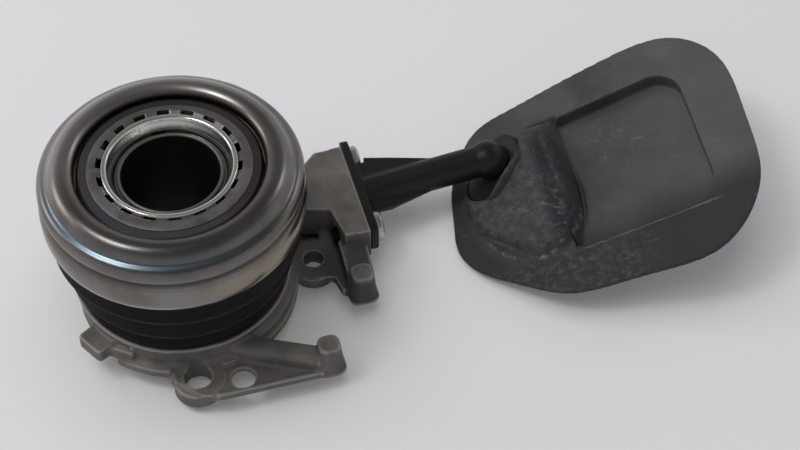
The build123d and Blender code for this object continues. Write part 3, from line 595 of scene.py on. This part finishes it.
@dataclass(frozen=True)
class PipePlastic:
    """Semi-gloss black glass-filled plastic."""

    base: Colour = (0.0058, 0.0056, 0.0057)
    worn: Colour = (0.026, 0.026, 0.025)

    def make(self) -> Material:
        """Mixes the finish.

        Returns:
            The finished material.
        """
        g = Graph("pipe_plastic")
        at = g.place()
        cloud = g.noise(at, 160)
        fibres = g.noise(g.turned(at, (0, -5, 0), (0.25, 1.0, 1.0)), 1500, 3, 0.65)
        colour = g.tint(g.step(fibres, 0.58, 0.78) * 0.5, self.base, self.worn)
        colour = g.tint(g.edges(0.53, 0.62) * 0.4, colour, self.worn)
        return g.finish(Base_Color=colour, Roughness=0.34 + 0.20 * cloud, Specular_IOR_Level=0.32,
                        Normal=g.bump(fibres * 0.6 + cloud * 0.4, 0.00006, 0.4))


@dataclass(frozen=True)
class TubeSteel:
    """The guide tube: bright at its turned mouth, painted near-black inside as the shade of the bore."""

    mouth: Colour = (0.20, 0.185, 0.165)
    inside: Colour = (0.004, 0.004, 0.004)

    def make(self) -> Material:
        """Mixes the finish.

        Returns:
            The finished material.
        """
        g = Graph("tube_steel")
        radius, east, north, z = g.round_axis()
        rings = g.noise(g.joined(radius * 1800.0, z * 1200.0, east * 0.7), 1.0, 3)
        shown = g.step(z, 0.0563, 0.0567)
        # painted shade: below the mouth the bore is near-black and not metallic
        colour = g.tint(shown, self.inside, self.mouth)
        return g.finish(Base_Color=colour, Metallic=shown * 0.9, Roughness=0.30 + 0.25 * rings,
                        Normal=g.bump(rings, 0.00004, 0.5))


class Sheen(Enum):
    """How a hidden piece takes the light."""

    SATIN = 0.45
    OILED = 0.25
    MATT = 0.70


@dataclass(frozen=True)
class InnerFinish:
    """Finish of a piece inside the bearing: two close tones, fine grain."""

    name: str
    base: Colour
    second: Colour
    sheen: Sheen
    metal: float = 0.0
    size: float = 400.0

    def make(self) -> Material:
        """Mixes the finish.

        Returns:
            The finished material.
        """
        g = Graph(self.name)
        at = g.place()
        cloud = g.noise(at, self.size * 0.3)
        grain = g.noise(at, self.size * 4.0, 2)
        colour = g.tint(g.step(cloud, 0.35, 0.7), self.base, self.second)
        return g.finish(Base_Color=colour, Metallic=self.metal, Roughness=self.sheen.value + 0.2 * cloud,
                        Normal=g.bump(grain, 0.00004, 0.4))


class Palette:
    """All finishes by the record's slot names, each made once."""

    inner = (
        InnerFinish("spring_steel", (0.26, 0.26, 0.27), (0.16, 0.155, 0.15), Sheen.OILED, 1.0),
        InnerFinish("seal_rubber", (0.012, 0.012, 0.012), (0.022, 0.022, 0.022), Sheen.MATT),
        InnerFinish("piston_plastic", (0.05, 0.05, 0.052), (0.035, 0.035, 0.036), Sheen.SATIN),
        InnerFinish("carrier_plastic", (0.022, 0.021, 0.021), (0.035, 0.034, 0.033), Sheen.SATIN),
        InnerFinish("ball_steel", (0.62, 0.62, 0.62), (0.52, 0.51, 0.50), Sheen.OILED, 1.0),
        InnerFinish("cage_plastic", (0.42, 0.36, 0.24), (0.34, 0.28, 0.18), Sheen.SATIN),
    )

    def __init__(self) -> None:
        """Lists the finishes."""
        self.made: dict[str, Material] = {}
        self.finishes = {
            "cast_aluminium": CastAluminium(),
            "cover_steel": CoverSteel(),
            "bright_zinc": BrightZinc(),
            "screw_zinc": BrightZinc("screw_zinc", (0.50, 0.51, 0.49), (0.24, 0.245, 0.23), 0.26, 0.0590),
            "washer_steel": WasherSteel(),
            "race_steel": RaceSteel(),
            "bellows_rubber": BellowsRubber(),
            "boot_rubber": BootRubber(),
            "pipe_plastic": PipePlastic(),
            "tube_steel": TubeSteel(),
            **{finish.name: finish for finish in self.inner},
        }

    def get(self, slot: str) -> Material:
        """The material of a slot, built when it is first asked for.

        Args:
            slot: The record's name for it.

        Returns:
            The slot's material.
        """
        if slot not in self.made:
            self.made[slot] = self.finishes[slot].make()
        return self.made[slot]

    def dress_cad(self, skip: set[str]) -> None:
        """Gives the carried-over CAD nodes their finishes.

        Args:
            skip: Nodes that a piece of the scene replaces.
        """
        for part in frame["record"]["subparts"]:
            if part["node"] in skip:
                continue
            node = frame["nodes"][part["node"]]
            for place in node.material_slots:
                place.material = self.get(part["material_slot"])
            LOG.info("dressed %s in %s", part["node"], part["material_slot"])


# Modelling by hand


def nothing_selected() -> None:
    """Leaves edit mode's targets clear before a new piece is started."""
    bpy.ops.object.select_all(action="DESELECT")


def only(piece: Piece) -> None:
    """Makes one object the selected and active one.

    Args:
        piece: The object.
    """
    nothing_selected()
    piece.select_set(True)
    bpy.context.view_layer.objects.active = piece


@contextmanager
def editing(piece: Piece, whole: bool = True) -> Iterator[None]:
    """Edit mode on one piece.

    Args:
        piece: The piece to edit, which is back in object mode afterwards.
        whole: Whether all of it is selected first.

    Returns:
        A context to edit in.
    """
    only(piece)
    bpy.ops.object.mode_set(mode="EDIT")
    if whole:
        bpy.ops.mesh.select_all(action="SELECT")
    yield
    bpy.ops.object.mode_set(mode="OBJECT")


def started(name: str) -> Piece:
    """The primitive just added, under its own name."""
    piece = bpy.context.object
    piece.name = name
    return piece


def apply(piece: Piece, kind: str, **settings: object) -> None:
    """Adds a modifier and applies it.

    Args:
        piece: The object to change.
        kind: The modifier's type.
        **settings: Its settings.
    """
    only(piece)
    modifier = piece.modifiers.new(kind.lower(), kind)
    for key, value in settings.items():
        setattr(modifier, key, value)
    bpy.ops.object.modifier_apply(modifier=modifier.name)


def smooth(piece: Piece) -> None:
    """Smooth shading all over."""
    only(piece)
    bpy.ops.object.shade_smooth()


def merged_copy(node: str, name: str) -> Piece:
    """A copy of a CAD node with its loose triangles joined.

    Args:
        node: The CAD node.
        name: The new piece's name.

    Returns:
        The new piece.
    """
    mesh = frame["nodes"][node].data.copy()
    piece = bpy.data.objects.new(name, mesh)
    bpy.context.scene.collection.objects.link(piece)
    mesh.materials.clear()
    with editing(piece):
        bpy.ops.mesh.remove_doubles(threshold=MERGE)
    return piece


def soften(piece: Piece, voxel: float, passes: int) -> None:
    """Rounds all edges as on a casting or moulding.

    Args:
        piece: The piece to change.
        voxel: Size of the remesh in millimetres.
        passes: How often it is smoothed.
    """
    apply(piece, "REMESH", mode="VOXEL", voxel_size=voxel * MM, adaptivity=0.0)
    apply(piece, "SMOOTH", factor=0.5, iterations=passes)
    smooth(piece)


@dataclass(frozen=True)
class Drum:
    """A closed upright drum to cut with or to add, sizes in millimetres."""

    name: str
    radius: float
    low: float
    high: float
    x: float = 0.0
    y: float = 0.0

    def build(self) -> Piece:
        """Makes the drum and sets it in its place.

        Returns:
            The finished drum.
        """
        nothing_selected()
        bpy.ops.mesh.primitive_cylinder_add(vertices=96, radius=self.radius * MM,
                                            depth=(self.high - self.low) * MM, location=(0, 0, 0))
        piece = started(self.name)
        with editing(piece):
            middle = (self.low + self.high) / 2
            bpy.ops.transform.translate(value=(self.x * MM, self.y * MM, middle * MM))
        return piece


def cut(piece: Piece, cutter: Piece) -> None:
    """Takes the cutter's volume out of a piece and removes the cutter."""
    apply(piece, "BOOLEAN", operation="DIFFERENCE", object=cutter, solver="EXACT")
    bpy.data.objects.remove(cutter, do_unlink=True)


def join(piece: Piece, other: Piece) -> None:
    """Adds the other piece's volume to a piece and removes the other."""
    apply(piece, "BOOLEAN", operation="UNION", object=other, solver="EXACT")
    bpy.data.objects.remove(other, do_unlink=True)


@dataclass(frozen=True)
class Turning:
    """A ring turned about the bearing's axis from a closed outline of radius and height in millimetres."""

    name: str
    outline: Outline
    around: int = 96
    rounding: int = 2

    def build(self) -> Piece:
        """Draws the outline as hoops, one extruded from the next, and closes the ring.

        Returns:
            The finished ring.
        """
        nothing_selected()
        radius, height = self.outline[0]
        bpy.ops.mesh.primitive_circle_add(vertices=self.around, radius=radius * MM, fill_type="NOTHING",
                                          location=(0, 0, 0))
        piece = started(self.name)
        with editing(piece):
            bpy.ops.transform.translate(value=(0, 0, height * MM))
            for (r0, z0), (r1, z1) in zip(self.outline, self.outline[1:]):
                bpy.ops.mesh.extrude_edges_move()
                bpy.ops.transform.translate(value=(0, 0, (z1 - z0) * MM))
                bpy.ops.transform.resize(value=(r1 / r0, r1 / r0, 1), center_override=(0, 0, z1 * MM))
            bpy.ops.mesh.select_all(action="DESELECT")
            bpy.ops.mesh.select_non_manifold()
            bpy.ops.mesh.bridge_edge_loops()
            bpy.ops.mesh.select_all(action="SELECT")
            bpy.ops.mesh.normals_make_consistent(inside=False)
        if self.rounding:
            apply(piece, "SUBSURF", levels=self.rounding, render_levels=self.rounding)
        smooth(piece)
        return piece


@dataclass(frozen=True)
class TabWasher:
    """The self-centring washer: a flat ring whose tabs dip under the sleeve's rim, sizes in millimetres."""

    outer_r: float = 23.9
    top_z: float = 59.50
    tab_line: Outline = ((21.1, 0.0), (20.7, 0.10), (20.2, 0.35), (18.5, 0.75))
    thick: float = 1.1
    edge: float = 0.10
    slack: float = 0.3
    shift_y: float = 1.0
    tabs: int = 18
    steps: int = 10
    open_steps: int = 5
    phase: float = 22.9

    def build(self) -> Piece:
        """Draws the rim as far as the slots, pulls the tabs inwards and down, and gives all its thickness.

        Returns:
            The finished washer.
        """
        nothing_selected()
        bpy.ops.mesh.primitive_circle_add(vertices=self.tabs * self.steps, radius=self.outer_r * MM,
                                          fill_type="NOTHING", location=(0, 0, 0))
        piece = started("slotted_washer_pressing")
        with editing(piece):
            bpy.ops.transform.translate(value=(0, 0, self.top_z * MM))
            bpy.ops.mesh.extrude_edges_move()
            factor = self.tab_line[0][0] / self.outer_r
            bpy.ops.transform.resize(value=(factor, factor, 1), center_override=(0, 0, self.top_z * MM))
            bpy.ops.transform.translate(value=(0, self.shift_y * MM, 0))
            bpy.ops.mesh.select_mode(type="EDGE")
            bpy.ops.mesh.select_all(action="DESELECT")
        self.select_tab_roots(piece)
        self.draw_tabs(piece)
        apply(piece, "SOLIDIFY", thickness=self.thick * MM, offset=-1.0)
        apply(piece, "BEVEL", width=self.edge * MM, segments=2, limit_method="ANGLE",
              angle_limit=math.radians(40))
        only(piece)
        bpy.ops.object.shade_smooth_by_angle(angle=math.radians(35))
        return piece

    def select_tab_roots(self, piece: Piece) -> None:
        """Selects the inner edges from which the tabs grow, and leaves out those at the slots.

        Args:
            piece: The flat rim.
        """
        start = math.radians(self.phase - 180.0 / self.tabs * self.open_steps / self.steps)
        centre = Vector((0, self.shift_y * MM, self.top_z * MM))
        pitch = math.tau / self.tabs
        for edge in piece.data.edges:
            ends = [piece.data.vertices[i].co - centre for i in edge.vertices]
            middle = (ends[0] + ends[1]) / 2
            inner = max(end.length for end in ends) < (self.tab_line[0][0] + self.slack) * MM
            place = ((math.atan2(middle.y, middle.x) - start) % pitch) / pitch * self.steps
            edge.select = inner and place > self.open_steps

    def draw_tabs(self, piece: Piece) -> None:
        """Extrudes the selected edges along the tabs' line, and turns the faces up.

        Args:
            piece: The flat rim.
        """
        with editing(piece, whole=False):
            for (r0, dip0), (r1, dip1) in zip(self.tab_line, self.tab_line[1:]):
                bpy.ops.mesh.extrude_edges_move()
                centre = (0, self.shift_y * MM, self.top_z * MM)
                bpy.ops.transform.resize(value=(r1 / r0, r1 / r0, 1), center_override=centre)
                bpy.ops.transform.translate(value=(0, 0, (dip0 - dip1) * MM))
            bpy.ops.mesh.select_mode(type="VERT")
            bpy.ops.mesh.select_all(action="SELECT")
            bpy.ops.mesh.remove_doubles(threshold=MERGE / 10)
            bpy.ops.mesh.normals_make_consistent(inside=False)
        if piece.data.polygons[0].normal.z < 0:
            with editing(piece):
                bpy.ops.mesh.flip_normals()


@dataclass
class Assembly:
    """Common duties of the sub-assemblies: dressing and attaching their pieces."""

    palette: Palette
    replaced: set[str]

    def attach(self, piece: Piece, body: str, slot: str, *nodes: str) -> Piece:
        """Dresses a piece, lets it ride on its body and stand for its CAD nodes.

        Args:
            piece: The finished piece.
            body: The CAD body that carries it.
            slot: The record's material slot.
            *nodes: The CAD nodes that it replaces.

        Returns:
            The same piece.
        """
        piece.data.materials.clear()
        piece.data.materials.append(self.palette.get(slot))
        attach(piece, body)
        if nodes:
            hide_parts(*nodes)
            self.replaced.update(nodes)
        LOG.info("built %s on %s", piece.name, body)
        return piece


@dataclass
class ReleaseBearing(Assembly):
    """The rings that show from above: cover, sleeve, guide tube and slotted washer."""

    cover: Outline = ((27.4, 57.8), (27.4, 59.9), (28.0, 60.9), (29.3, 61.75), (31.1, 62.1), (32.9, 61.7),
                      (34.4, 60.5), (35.3, 59.2), (35.9, 58.45), (36.9, 58.25), (37.9, 57.6), (38.5, 56.4),
                      (38.65, 55.0), (38.3, 53.3), (37.7, 52.4), (37.65, 51.7), (38.2, 50.9), (38.85, 49.7),
                      (39.05, 47.5), (38.95, 44.6), (38.6, 42.6), (38.0, 41.2), (36.6, 41.2), (37.1, 43.0),
                      (37.4, 45.0), (37.4, 49.0), (36.3, 51.0), (36.2, 52.6), (36.9, 54.5), (36.6, 56.4),
                      (35.2, 56.8), (34.2, 57.9), (32.6, 59.9), (31.1, 60.4), (29.7, 60.0), (29.0, 59.2),
                      (29.0, 57.8))
    sleeve: Outline = ((15.55, 43.3), (18.2, 43.3), (18.2, 58.9), (18.35, 59.05), (19.4, 59.05),
                       (19.75, 59.3), (19.8, 59.9), (19.6, 60.35), (19.2, 60.5), (18.5, 60.4),
                       (18.1, 60.1), (17.85, 59.4), (17.2, 58.2), (16.7, 57.0), (16.6, 56.4),
                       (16.6, 54.8), (15.55, 54.8))
    tube: Outline = ((14.3, -1.2), (14.6, -1.2), (22.8, -1.2), (23.0, -1.1), (23.0, -0.4), (21.3, -0.4),
                     (21.3, 1.4), (15.9, 1.5), (15.5, 1.6), (15.5, 2.4), (15.5, 54.7), (14.9, 54.8),
                     (14.9, 55.9), (15.5, 56.0), (15.5, 56.5), (15.3, 56.9), (14.9, 57.0), (14.55, 56.9),
                     (14.32, 56.5), (14.3, 55.5), (14.3, 0.0))

    def build(self) -> None:
        """Builds and attaches the rings."""
        cover = Turning("bearing_cover_pressing", self.cover, 64).build()
        self.attach(cover, "bearing_outer", "cover_steel", "bearing_cover")
        sleeve = Turning("sleeve_rim", self.sleeve, 64).build()
        self.attach(sleeve, "release_carrier", "bright_zinc", "bearing_sleeve")
        tube = Turning("guide_tube_turning", self.tube).build()
        self.attach(tube, "housing_body", "tube_steel", "guide_tube")
        self.attach(TabWasher().build(), "release_carrier", "washer_steel", "slotted_washer")


@dataclass
class Bellows(Assembly):
    """The dust bellows and the preload spring, which both shorten with the slide on the real part."""

    outline: Outline = ((35.5, 41.17), (35.6, 40.9), (35.6, 39.7), (35.75, 39.2), (36.3, 36.8),
                        (36.95, 34.25), (37.1, 33.75), (36.85, 33.2), (35.2, 30.6), (33.5, 28.95),
                        (33.2, 28.4), (33.45, 27.6), (34.05, 24.4), (34.3, 23.4), (34.1, 22.8),
                        (32.6, 20.6), (31.3, 19.2), (31.05, 18.6), (31.4, 17.4), (31.95, 16.3),
                        (32.0, 15.6), (32.0, 14.6), (31.8, 14.43), (28.6, 14.43), (28.6, 16.3),
                        (29.8, 18.8), (33.1, 23.2), (32.0, 28.6), (35.9, 33.7), (34.5, 38.0),
                        (34.0, 39.57), (34.0, 41.17))
    foot_z: float = 14.43
    keep: float = 0.551
    spring_foot_z: float = 7.53
    spring_keep: float = 0.643

    def build(self) -> None:
        """Builds the bellows and copies the spring."""
        bellows = Turning("dust_bellows", self.outline, 64).build()
        self.attach(bellows, "housing_body", "bellows_rubber", "bellows")
        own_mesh(bellows)
        spring = merged_copy("preload_spring", "preload_spring_wire")
        smooth(spring)
        self.attach(spring, "housing_body", "spring_steel", "preload_spring")
        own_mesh(spring)


@dataclass
class Casting(Assembly):
    """The aluminium housing, with the flat pad cleared round the front ear's hole."""

    voxel: float = 0.46
    pad_room: Drum = Drum("pad_room", 8.3, 6.02, 18.02, -3.8, -36.0)
    pad_wall: Drum = Drum("pad_wall", 32.6, 5.02, 19.02)
    neck_web: Drum = Drum("neck_web", 5.2, 0.05, 2.5, 42.3, 10.5)

    def build(self) -> None:
        """Builds and attaches the casting."""
        casting = merged_copy("housing", "housing_casting")
        room = self.pad_room.build()
        cut(room, self.pad_wall.build())
        cut(casting, room)
        join(casting, self.neck_web.build())
        soften(casting, self.voxel, 2)
        self.attach(casting, "housing_body", "cast_aluminium", "housing")


@dataclass
class InletPipe(Assembly):
    """The moulded inlet pipe with the web behind its tube."""

    voxel: float = 0.36
    web: Outline = ((60.0, 25.0), (63.7, 25.0), (64.0, 26.9), (72.5, 24.6), (84.5, 20.9), (84.5, 17.0),
                    (60.0, 17.0))
    web_z: tuple[float, float] = (11.8, 14.2)

    def build(self) -> None:
        """Builds and attaches the pipe."""
        pipe = merged_copy("inlet_pipe", "inlet_pipe_moulding")
        join(pipe, self.make_web())
        soften(pipe, self.voxel, 3)
        self.attach(pipe, "housing_body", "pipe_plastic", "inlet_pipe")

    def make_web(self) -> Piece:
        """The raised web between flange and tube, drawn from point to point, filled and extruded.

        Returns:
            The closed plate.
        """
        nothing_selected()
        low, high = self.web_z
        bpy.ops.mesh.primitive_plane_add(size=MM, location=(0, 0, 0))
        web = started("pipe_web")
        with editing(web):
            bpy.ops.mesh.merge(type="CENTER")
            bpy.ops.transform.translate(value=(self.web[0][0] * MM, self.web[0][1] * MM, low * MM))
            for (x0, y0), (x1, y1) in zip(self.web, self.web[1:]):
                bpy.ops.mesh.extrude_vertices_move()
                bpy.ops.transform.translate(value=((x1 - x0) * MM, (y1 - y0) * MM, 0))
            bpy.ops.mesh.select_all(action="SELECT")
            bpy.ops.mesh.edge_face_add()
            bpy.ops.mesh.extrude_region_move(TRANSFORM_OT_translate={"value": (0, 0, (high - low) * MM)})
            bpy.ops.mesh.select_all(action="SELECT")
            bpy.ops.mesh.normals_make_consistent(inside=False)
        return web


@dataclass(frozen=True)
class Flank:
    """A flat flank of the boot's hump, which rises along a direction from a point, sizes in millimetres."""

    rise: float
    way: tuple[float, float]
    start: tuple[float, float] = (0.0, 0.0)
    base: float = 0.0

    def height(self, u: float, v: float) -> float:
        """Its height at a place of the rim plane."""
        return self.base + self.rise * (self.way[0] * (u - self.start[0]) + self.way[1] * (v - self.start[1]))


@dataclass
class Boot(Assembly):
    """The rubber boot, its hump drawn over the connector as a ridge with flat flanks.

    Places are in millimetres in the boot's own frame: u along it, v across it, and w up from the rim plane.
    """

    voxel: float = 0.43
    passes: int = 9
    panel_w: float = -5.5
    panel_u: float = 33.2
    panel_v: tuple[float, float] = (-27.4, 24.4)
    hump_u: tuple[float, float] = (2.0, 46.0)
    hump_v: tuple[float, float] = (-29.0, 28.0)
    skin_facing: float = -0.25
    skin_low: float = 0.6
    skin_w: float = -5.9
    inside_w: float = -4.5
    least_rise: float = 0.02
    least_hump: float = 0.5
    rounding: float = 0.9
    seat: Flank = Flank(0.404, (1, 0), (19.5, 0), 3.9)
    seat_low: float = 3.0
    seat_rounding: float = 1.0
    flanks: tuple[Flank, ...] = (
        Flank(1.3, (0, 1), (0, -25.0)),
        Flank(1.4, (0.771, 0.637), (5.0, -6.6)),
        Flank(1.8, (1, 0), (5.6, 0)),
        Flank(1.7, (0, -1), (0, 23.0)),
        Flank(1.5, (0.76, -0.65), (5.6, 8.0)),
        Flank(0.42, (-1, 0), (31.0, 0), 9.2),
        Flank(0.24, (0, 1), (0, 3.0), 9.0),
    )
    edge_u: float = 41.6
    edge_lean: float = 0.06
    edge_curl: float = 0.012
    curl_from: float = 2.0
    edge_rise: float = 2.4
    cad_rings: tuple[tuple[float, ...], ...] = (
        (0.0, 23.4, -0.6, 17.4, 24.2), (3.5, 23.9, 0.4, 15.2, 20.8), (7.0, 25.0, 1.2, 12.6, 17.4),
        (9.4, 26.4, 2.2, 8.6, 12.4), (10.8, 27.6, 3.0, 4.6, 7.6))
    plate_from: tuple[float, float] = (14.0, 8.4)
    plate_to: tuple[float, float] = (22.8, 14.7)
    plate_r: float = 6.9
    plate_fade: float = 1.7

    def build(self) -> None:
        """Builds and attaches the boot."""
        boot = merged_copy("rubber_boot", "rubber_boot_moulding")
        turn = Matrix([Vector(way) for way in BOOT_WAYS]).transposed().to_4x4()
        stand = Matrix.Translation(Vector(BOOT_ORIGIN)) @ turn
        boot.data.transform(stand.inverted())
        soften(boot, self.voxel, 1)
        self.draw_hump(boot)
        apply(boot, "SMOOTH", factor=0.5, iterations=self.passes)
        boot.data.transform(stand)
        self.attach(boot, "housing_body", "boot_rubber", "rubber_boot")

    def draw_hump(self, boot: Piece) -> None:
        """Moves the hump's skin to its drawn height, and the inside by as much.

        Args:
            boot: The softened boot, in its own frame.
        """
        facings = [vertex.normal.z for vertex in boot.data.vertices]
        for vertex, facing in zip(boot.data.vertices, facings):
            u, v, w = (part / MM for part in vertex.co)
            if not (self.hump_u[0] < u < self.hump_u[1] and self.hump_v[0] < v < self.hump_v[1]):
                continue
            in_panel = u > self.panel_u and self.panel_v[0] < v < self.panel_v[1]
            base = self.panel_w if in_panel else 0.0
            target = self.height(u, v)
            if target <= base + self.least_rise:
                continue
            room = self.clear_of_plate(u, v)
            outside = facing > self.skin_facing
            if outside and w > max(target, self.skin_w):
                vertex.co.z = target * MM
            elif outside and room > 0 and w > max(base - self.skin_low, self.skin_w):
                vertex.co.z = (w + room * (target - w)) * MM
            elif not outside and room > 0 and w > self.inside_w:
                before = self.cad_height(u, v)
                if before > self.least_hump:
                    vertex.co.z = (w + room * (target - before)) * MM

    def height(self, u: float, v: float) -> float:
        """Height of the drawn skin over the rim plane, as the lowest of its flanks.

        Args:
            u: Place along it.
            v: Place across it.

        Returns:
            The height.
        """
        edge = self.edge_u + self.edge_lean * v - self.edge_curl * max(0.0, -v - self.curl_from) ** 2
        seat = self.blend((self.seat.height(u, v), self.seat_low), -self.seat_rounding)
        heights = [flank.height(u, v) for flank in self.flanks]
        return self.blend((seat, *heights, self.panel_w + self.edge_rise * (edge - u)), self.rounding)

    def cad_height(self, u: float, v: float) -> float:
        """Height of the CAD hump's skin, from its rings of height, centre and half sizes.

        Args:
            u: Place along it.
            v: Place across it.

        Returns:
            The height, which is 0 beside the hump.
        """
        found = 0.0
        for (h0, u0, v0, a0, b0), (h1, u1, v1, a1, b1) in zip(self.cad_rings, self.cad_rings[1:]):
            outer = math.hypot((u - u0) / a0, (v - v0) / b0)
            inner = math.hypot((u - u1) / a1, (v - v1) / b1)
            if inner <= 1.0:
                found = h1
            elif outer < 1.0:
                found = h0 + (h1 - h0) * (1.0 - outer) / (inner - outer)
        return found

    def clear_of_plate(self, u: float, v: float) -> float:
        """How free the skin is to move beside the connector's plate.

        Args:
            u: Place along it.
            v: Place across it.

        Returns:
            0 at the plate, 1 a little way beyond its edge.
        """
        start, end, spot = Vector(self.plate_from), Vector(self.plate_to), Vector((u, v))
        share = max(0.0, min(1.0, (spot - start).dot(end - start) / (end - start).length_squared))
        away = (spot - start - (end - start) * share).length
        step = max(0.0, min(1.0, (away - self.plate_r) / self.plate_fade))
        return step * step * (3 - 2 * step)

    def blend(self, values: tuple[float, ...], width: float) -> float:
        """The smallest value with rounded joints, or the largest for a negative width."""
        least = min(values) if width > 0 else max(values)
        return least - width * math.log(sum(math.exp(-(value - least) / width) for value in values))


@dataclass(frozen=True)
class Lamp:
    """A square softbox that faces the object, in metres and watts."""

    name: str
    place: Place3
    size: float
    power: float
    mirrored: bool = True
    aim: Place3 = (0.06, 0.0, 0.0)

    def hang(self) -> None:
        """Hangs it in its place."""
        light = bpy.data.lights.new(self.name, "AREA")
        light.size = self.size
        light.energy = self.power
        lamp = bpy.data.objects.new(self.name, light)
        bpy.context.scene.collection.objects.link(lamp)
        lamp.location = self.place
        lamp.visible_glossy = self.mirrored
        lamp.rotation_euler = (Vector(self.aim) - Vector(self.place)).to_track_quat("-Z", "Y").to_euler()


@dataclass
class Studio:
    """Pale floor, soft lamps, world and the camera."""

    floor_z: float = -2.5
    floor_size: float = 8.0
    floor_glow: float = 0.085
    floor_colour: Colour = (0.60, 0.60, 0.61)
    floor_shade: Colour = (0.56, 0.56, 0.57)
    room: Outline = ((0.00, 0.60), (0.45, 0.48), (0.66, 0.20), (0.90, 0.16))
    eye: Place3 = (-40.56, -380.17, 489.10)
    look: Place3 = (0.17554, 0.61218, -0.77099)
    lens: float = 90.0
    lamps: tuple[Lamp, ...] = (
        Lamp("ceiling_softbox", (-0.25, 0.15, 1.25), 1.5, 11.5, False),
        Lamp("ceiling_window", (-0.58, 0.07, 1.17), 0.34, 3.6),
        Lamp("left_window", (-1.10, 0.66, 0.70), 0.45, 2.2),
        Lamp("right_window", (1.2, 0.4, 0.9), 0.4, 0.9),
    )

    def build(self) -> None:
        """Sets the whole stage."""
        self.floor()
        self.world()
        for lamp in self.lamps:
            lamp.hang()
        self.camera()

    def floor(self) -> None:
        """Lays the table top."""
        nothing_selected()
        bpy.ops.mesh.primitive_plane_add(size=self.floor_size, location=(0, 0, 0))
        floor = started("table_top")
        with editing(floor):
            bpy.ops.transform.translate(value=(0, 0, self.floor_z * MM))
        g = Graph("table_top")
        shade = g.noise(g.place(), 3, 3, 0.5)
        colour = g.tint(shade * 0.15, self.floor_colour, self.floor_shade)
        glow = g.tint(shade, (0.95, 0.97, 1.0), (1.0, 1.0, 1.0))
        floor.data.materials.append(g.finish(Base_Color=colour, Roughness=0.55, Specular_IOR_Level=0.2,
                                             Emission_Color=glow, Emission_Strength=self.floor_glow))

    def world(self) -> None:
        """A pale room, which dims towards the ceiling."""
        g = Graph("room", bpy.data.worlds)
        upward = g.split(g.node("ShaderNodeTexCoord", output="Generated"))[2]
        stops = [(place, (level, level, level * 1.02)) for place, level in self.room]
        shade = g.node("ShaderNodeBackground", None, {"Color": g.ramp(upward, stops)})
        bpy.context.scene.world = g.close("ShaderNodeOutputWorld", shade)

    def camera(self) -> None:
        """Puts the camera at the photograph's place."""
        lens = bpy.data.cameras.new("camera")
        lens.lens = self.lens
        lens.sensor_width = 36.0
        lens.sensor_fit = "HORIZONTAL"
        lens.clip_start = 0.01
        camera = bpy.data.objects.new("camera", lens)
        bpy.context.scene.collection.objects.link(camera)
        camera.location = Vector(self.eye) * MM
        camera.rotation_euler = Vector(self.look).to_track_quat("-Z", "Y").to_euler()
        bpy.context.scene.camera = camera
        bpy.context.scene.view_settings.view_transform = "Standard"


def main() -> None:
    """Builds the sub-assemblies in order and reports each piece."""
    logging.basicConfig(level=logging.INFO, format="%(message)s")
    palette = Palette()
    replaced: set[str] = set()
    ReleaseBearing(palette, replaced).build()
    Bellows(palette, replaced).build()
    Casting(palette, replaced).build()
    InletPipe(palette, replaced).build()
    Boot(palette, replaced).build()
    palette.dress_cad(replaced)
    Studio().build()


if __name__ == "__main__":
    main()
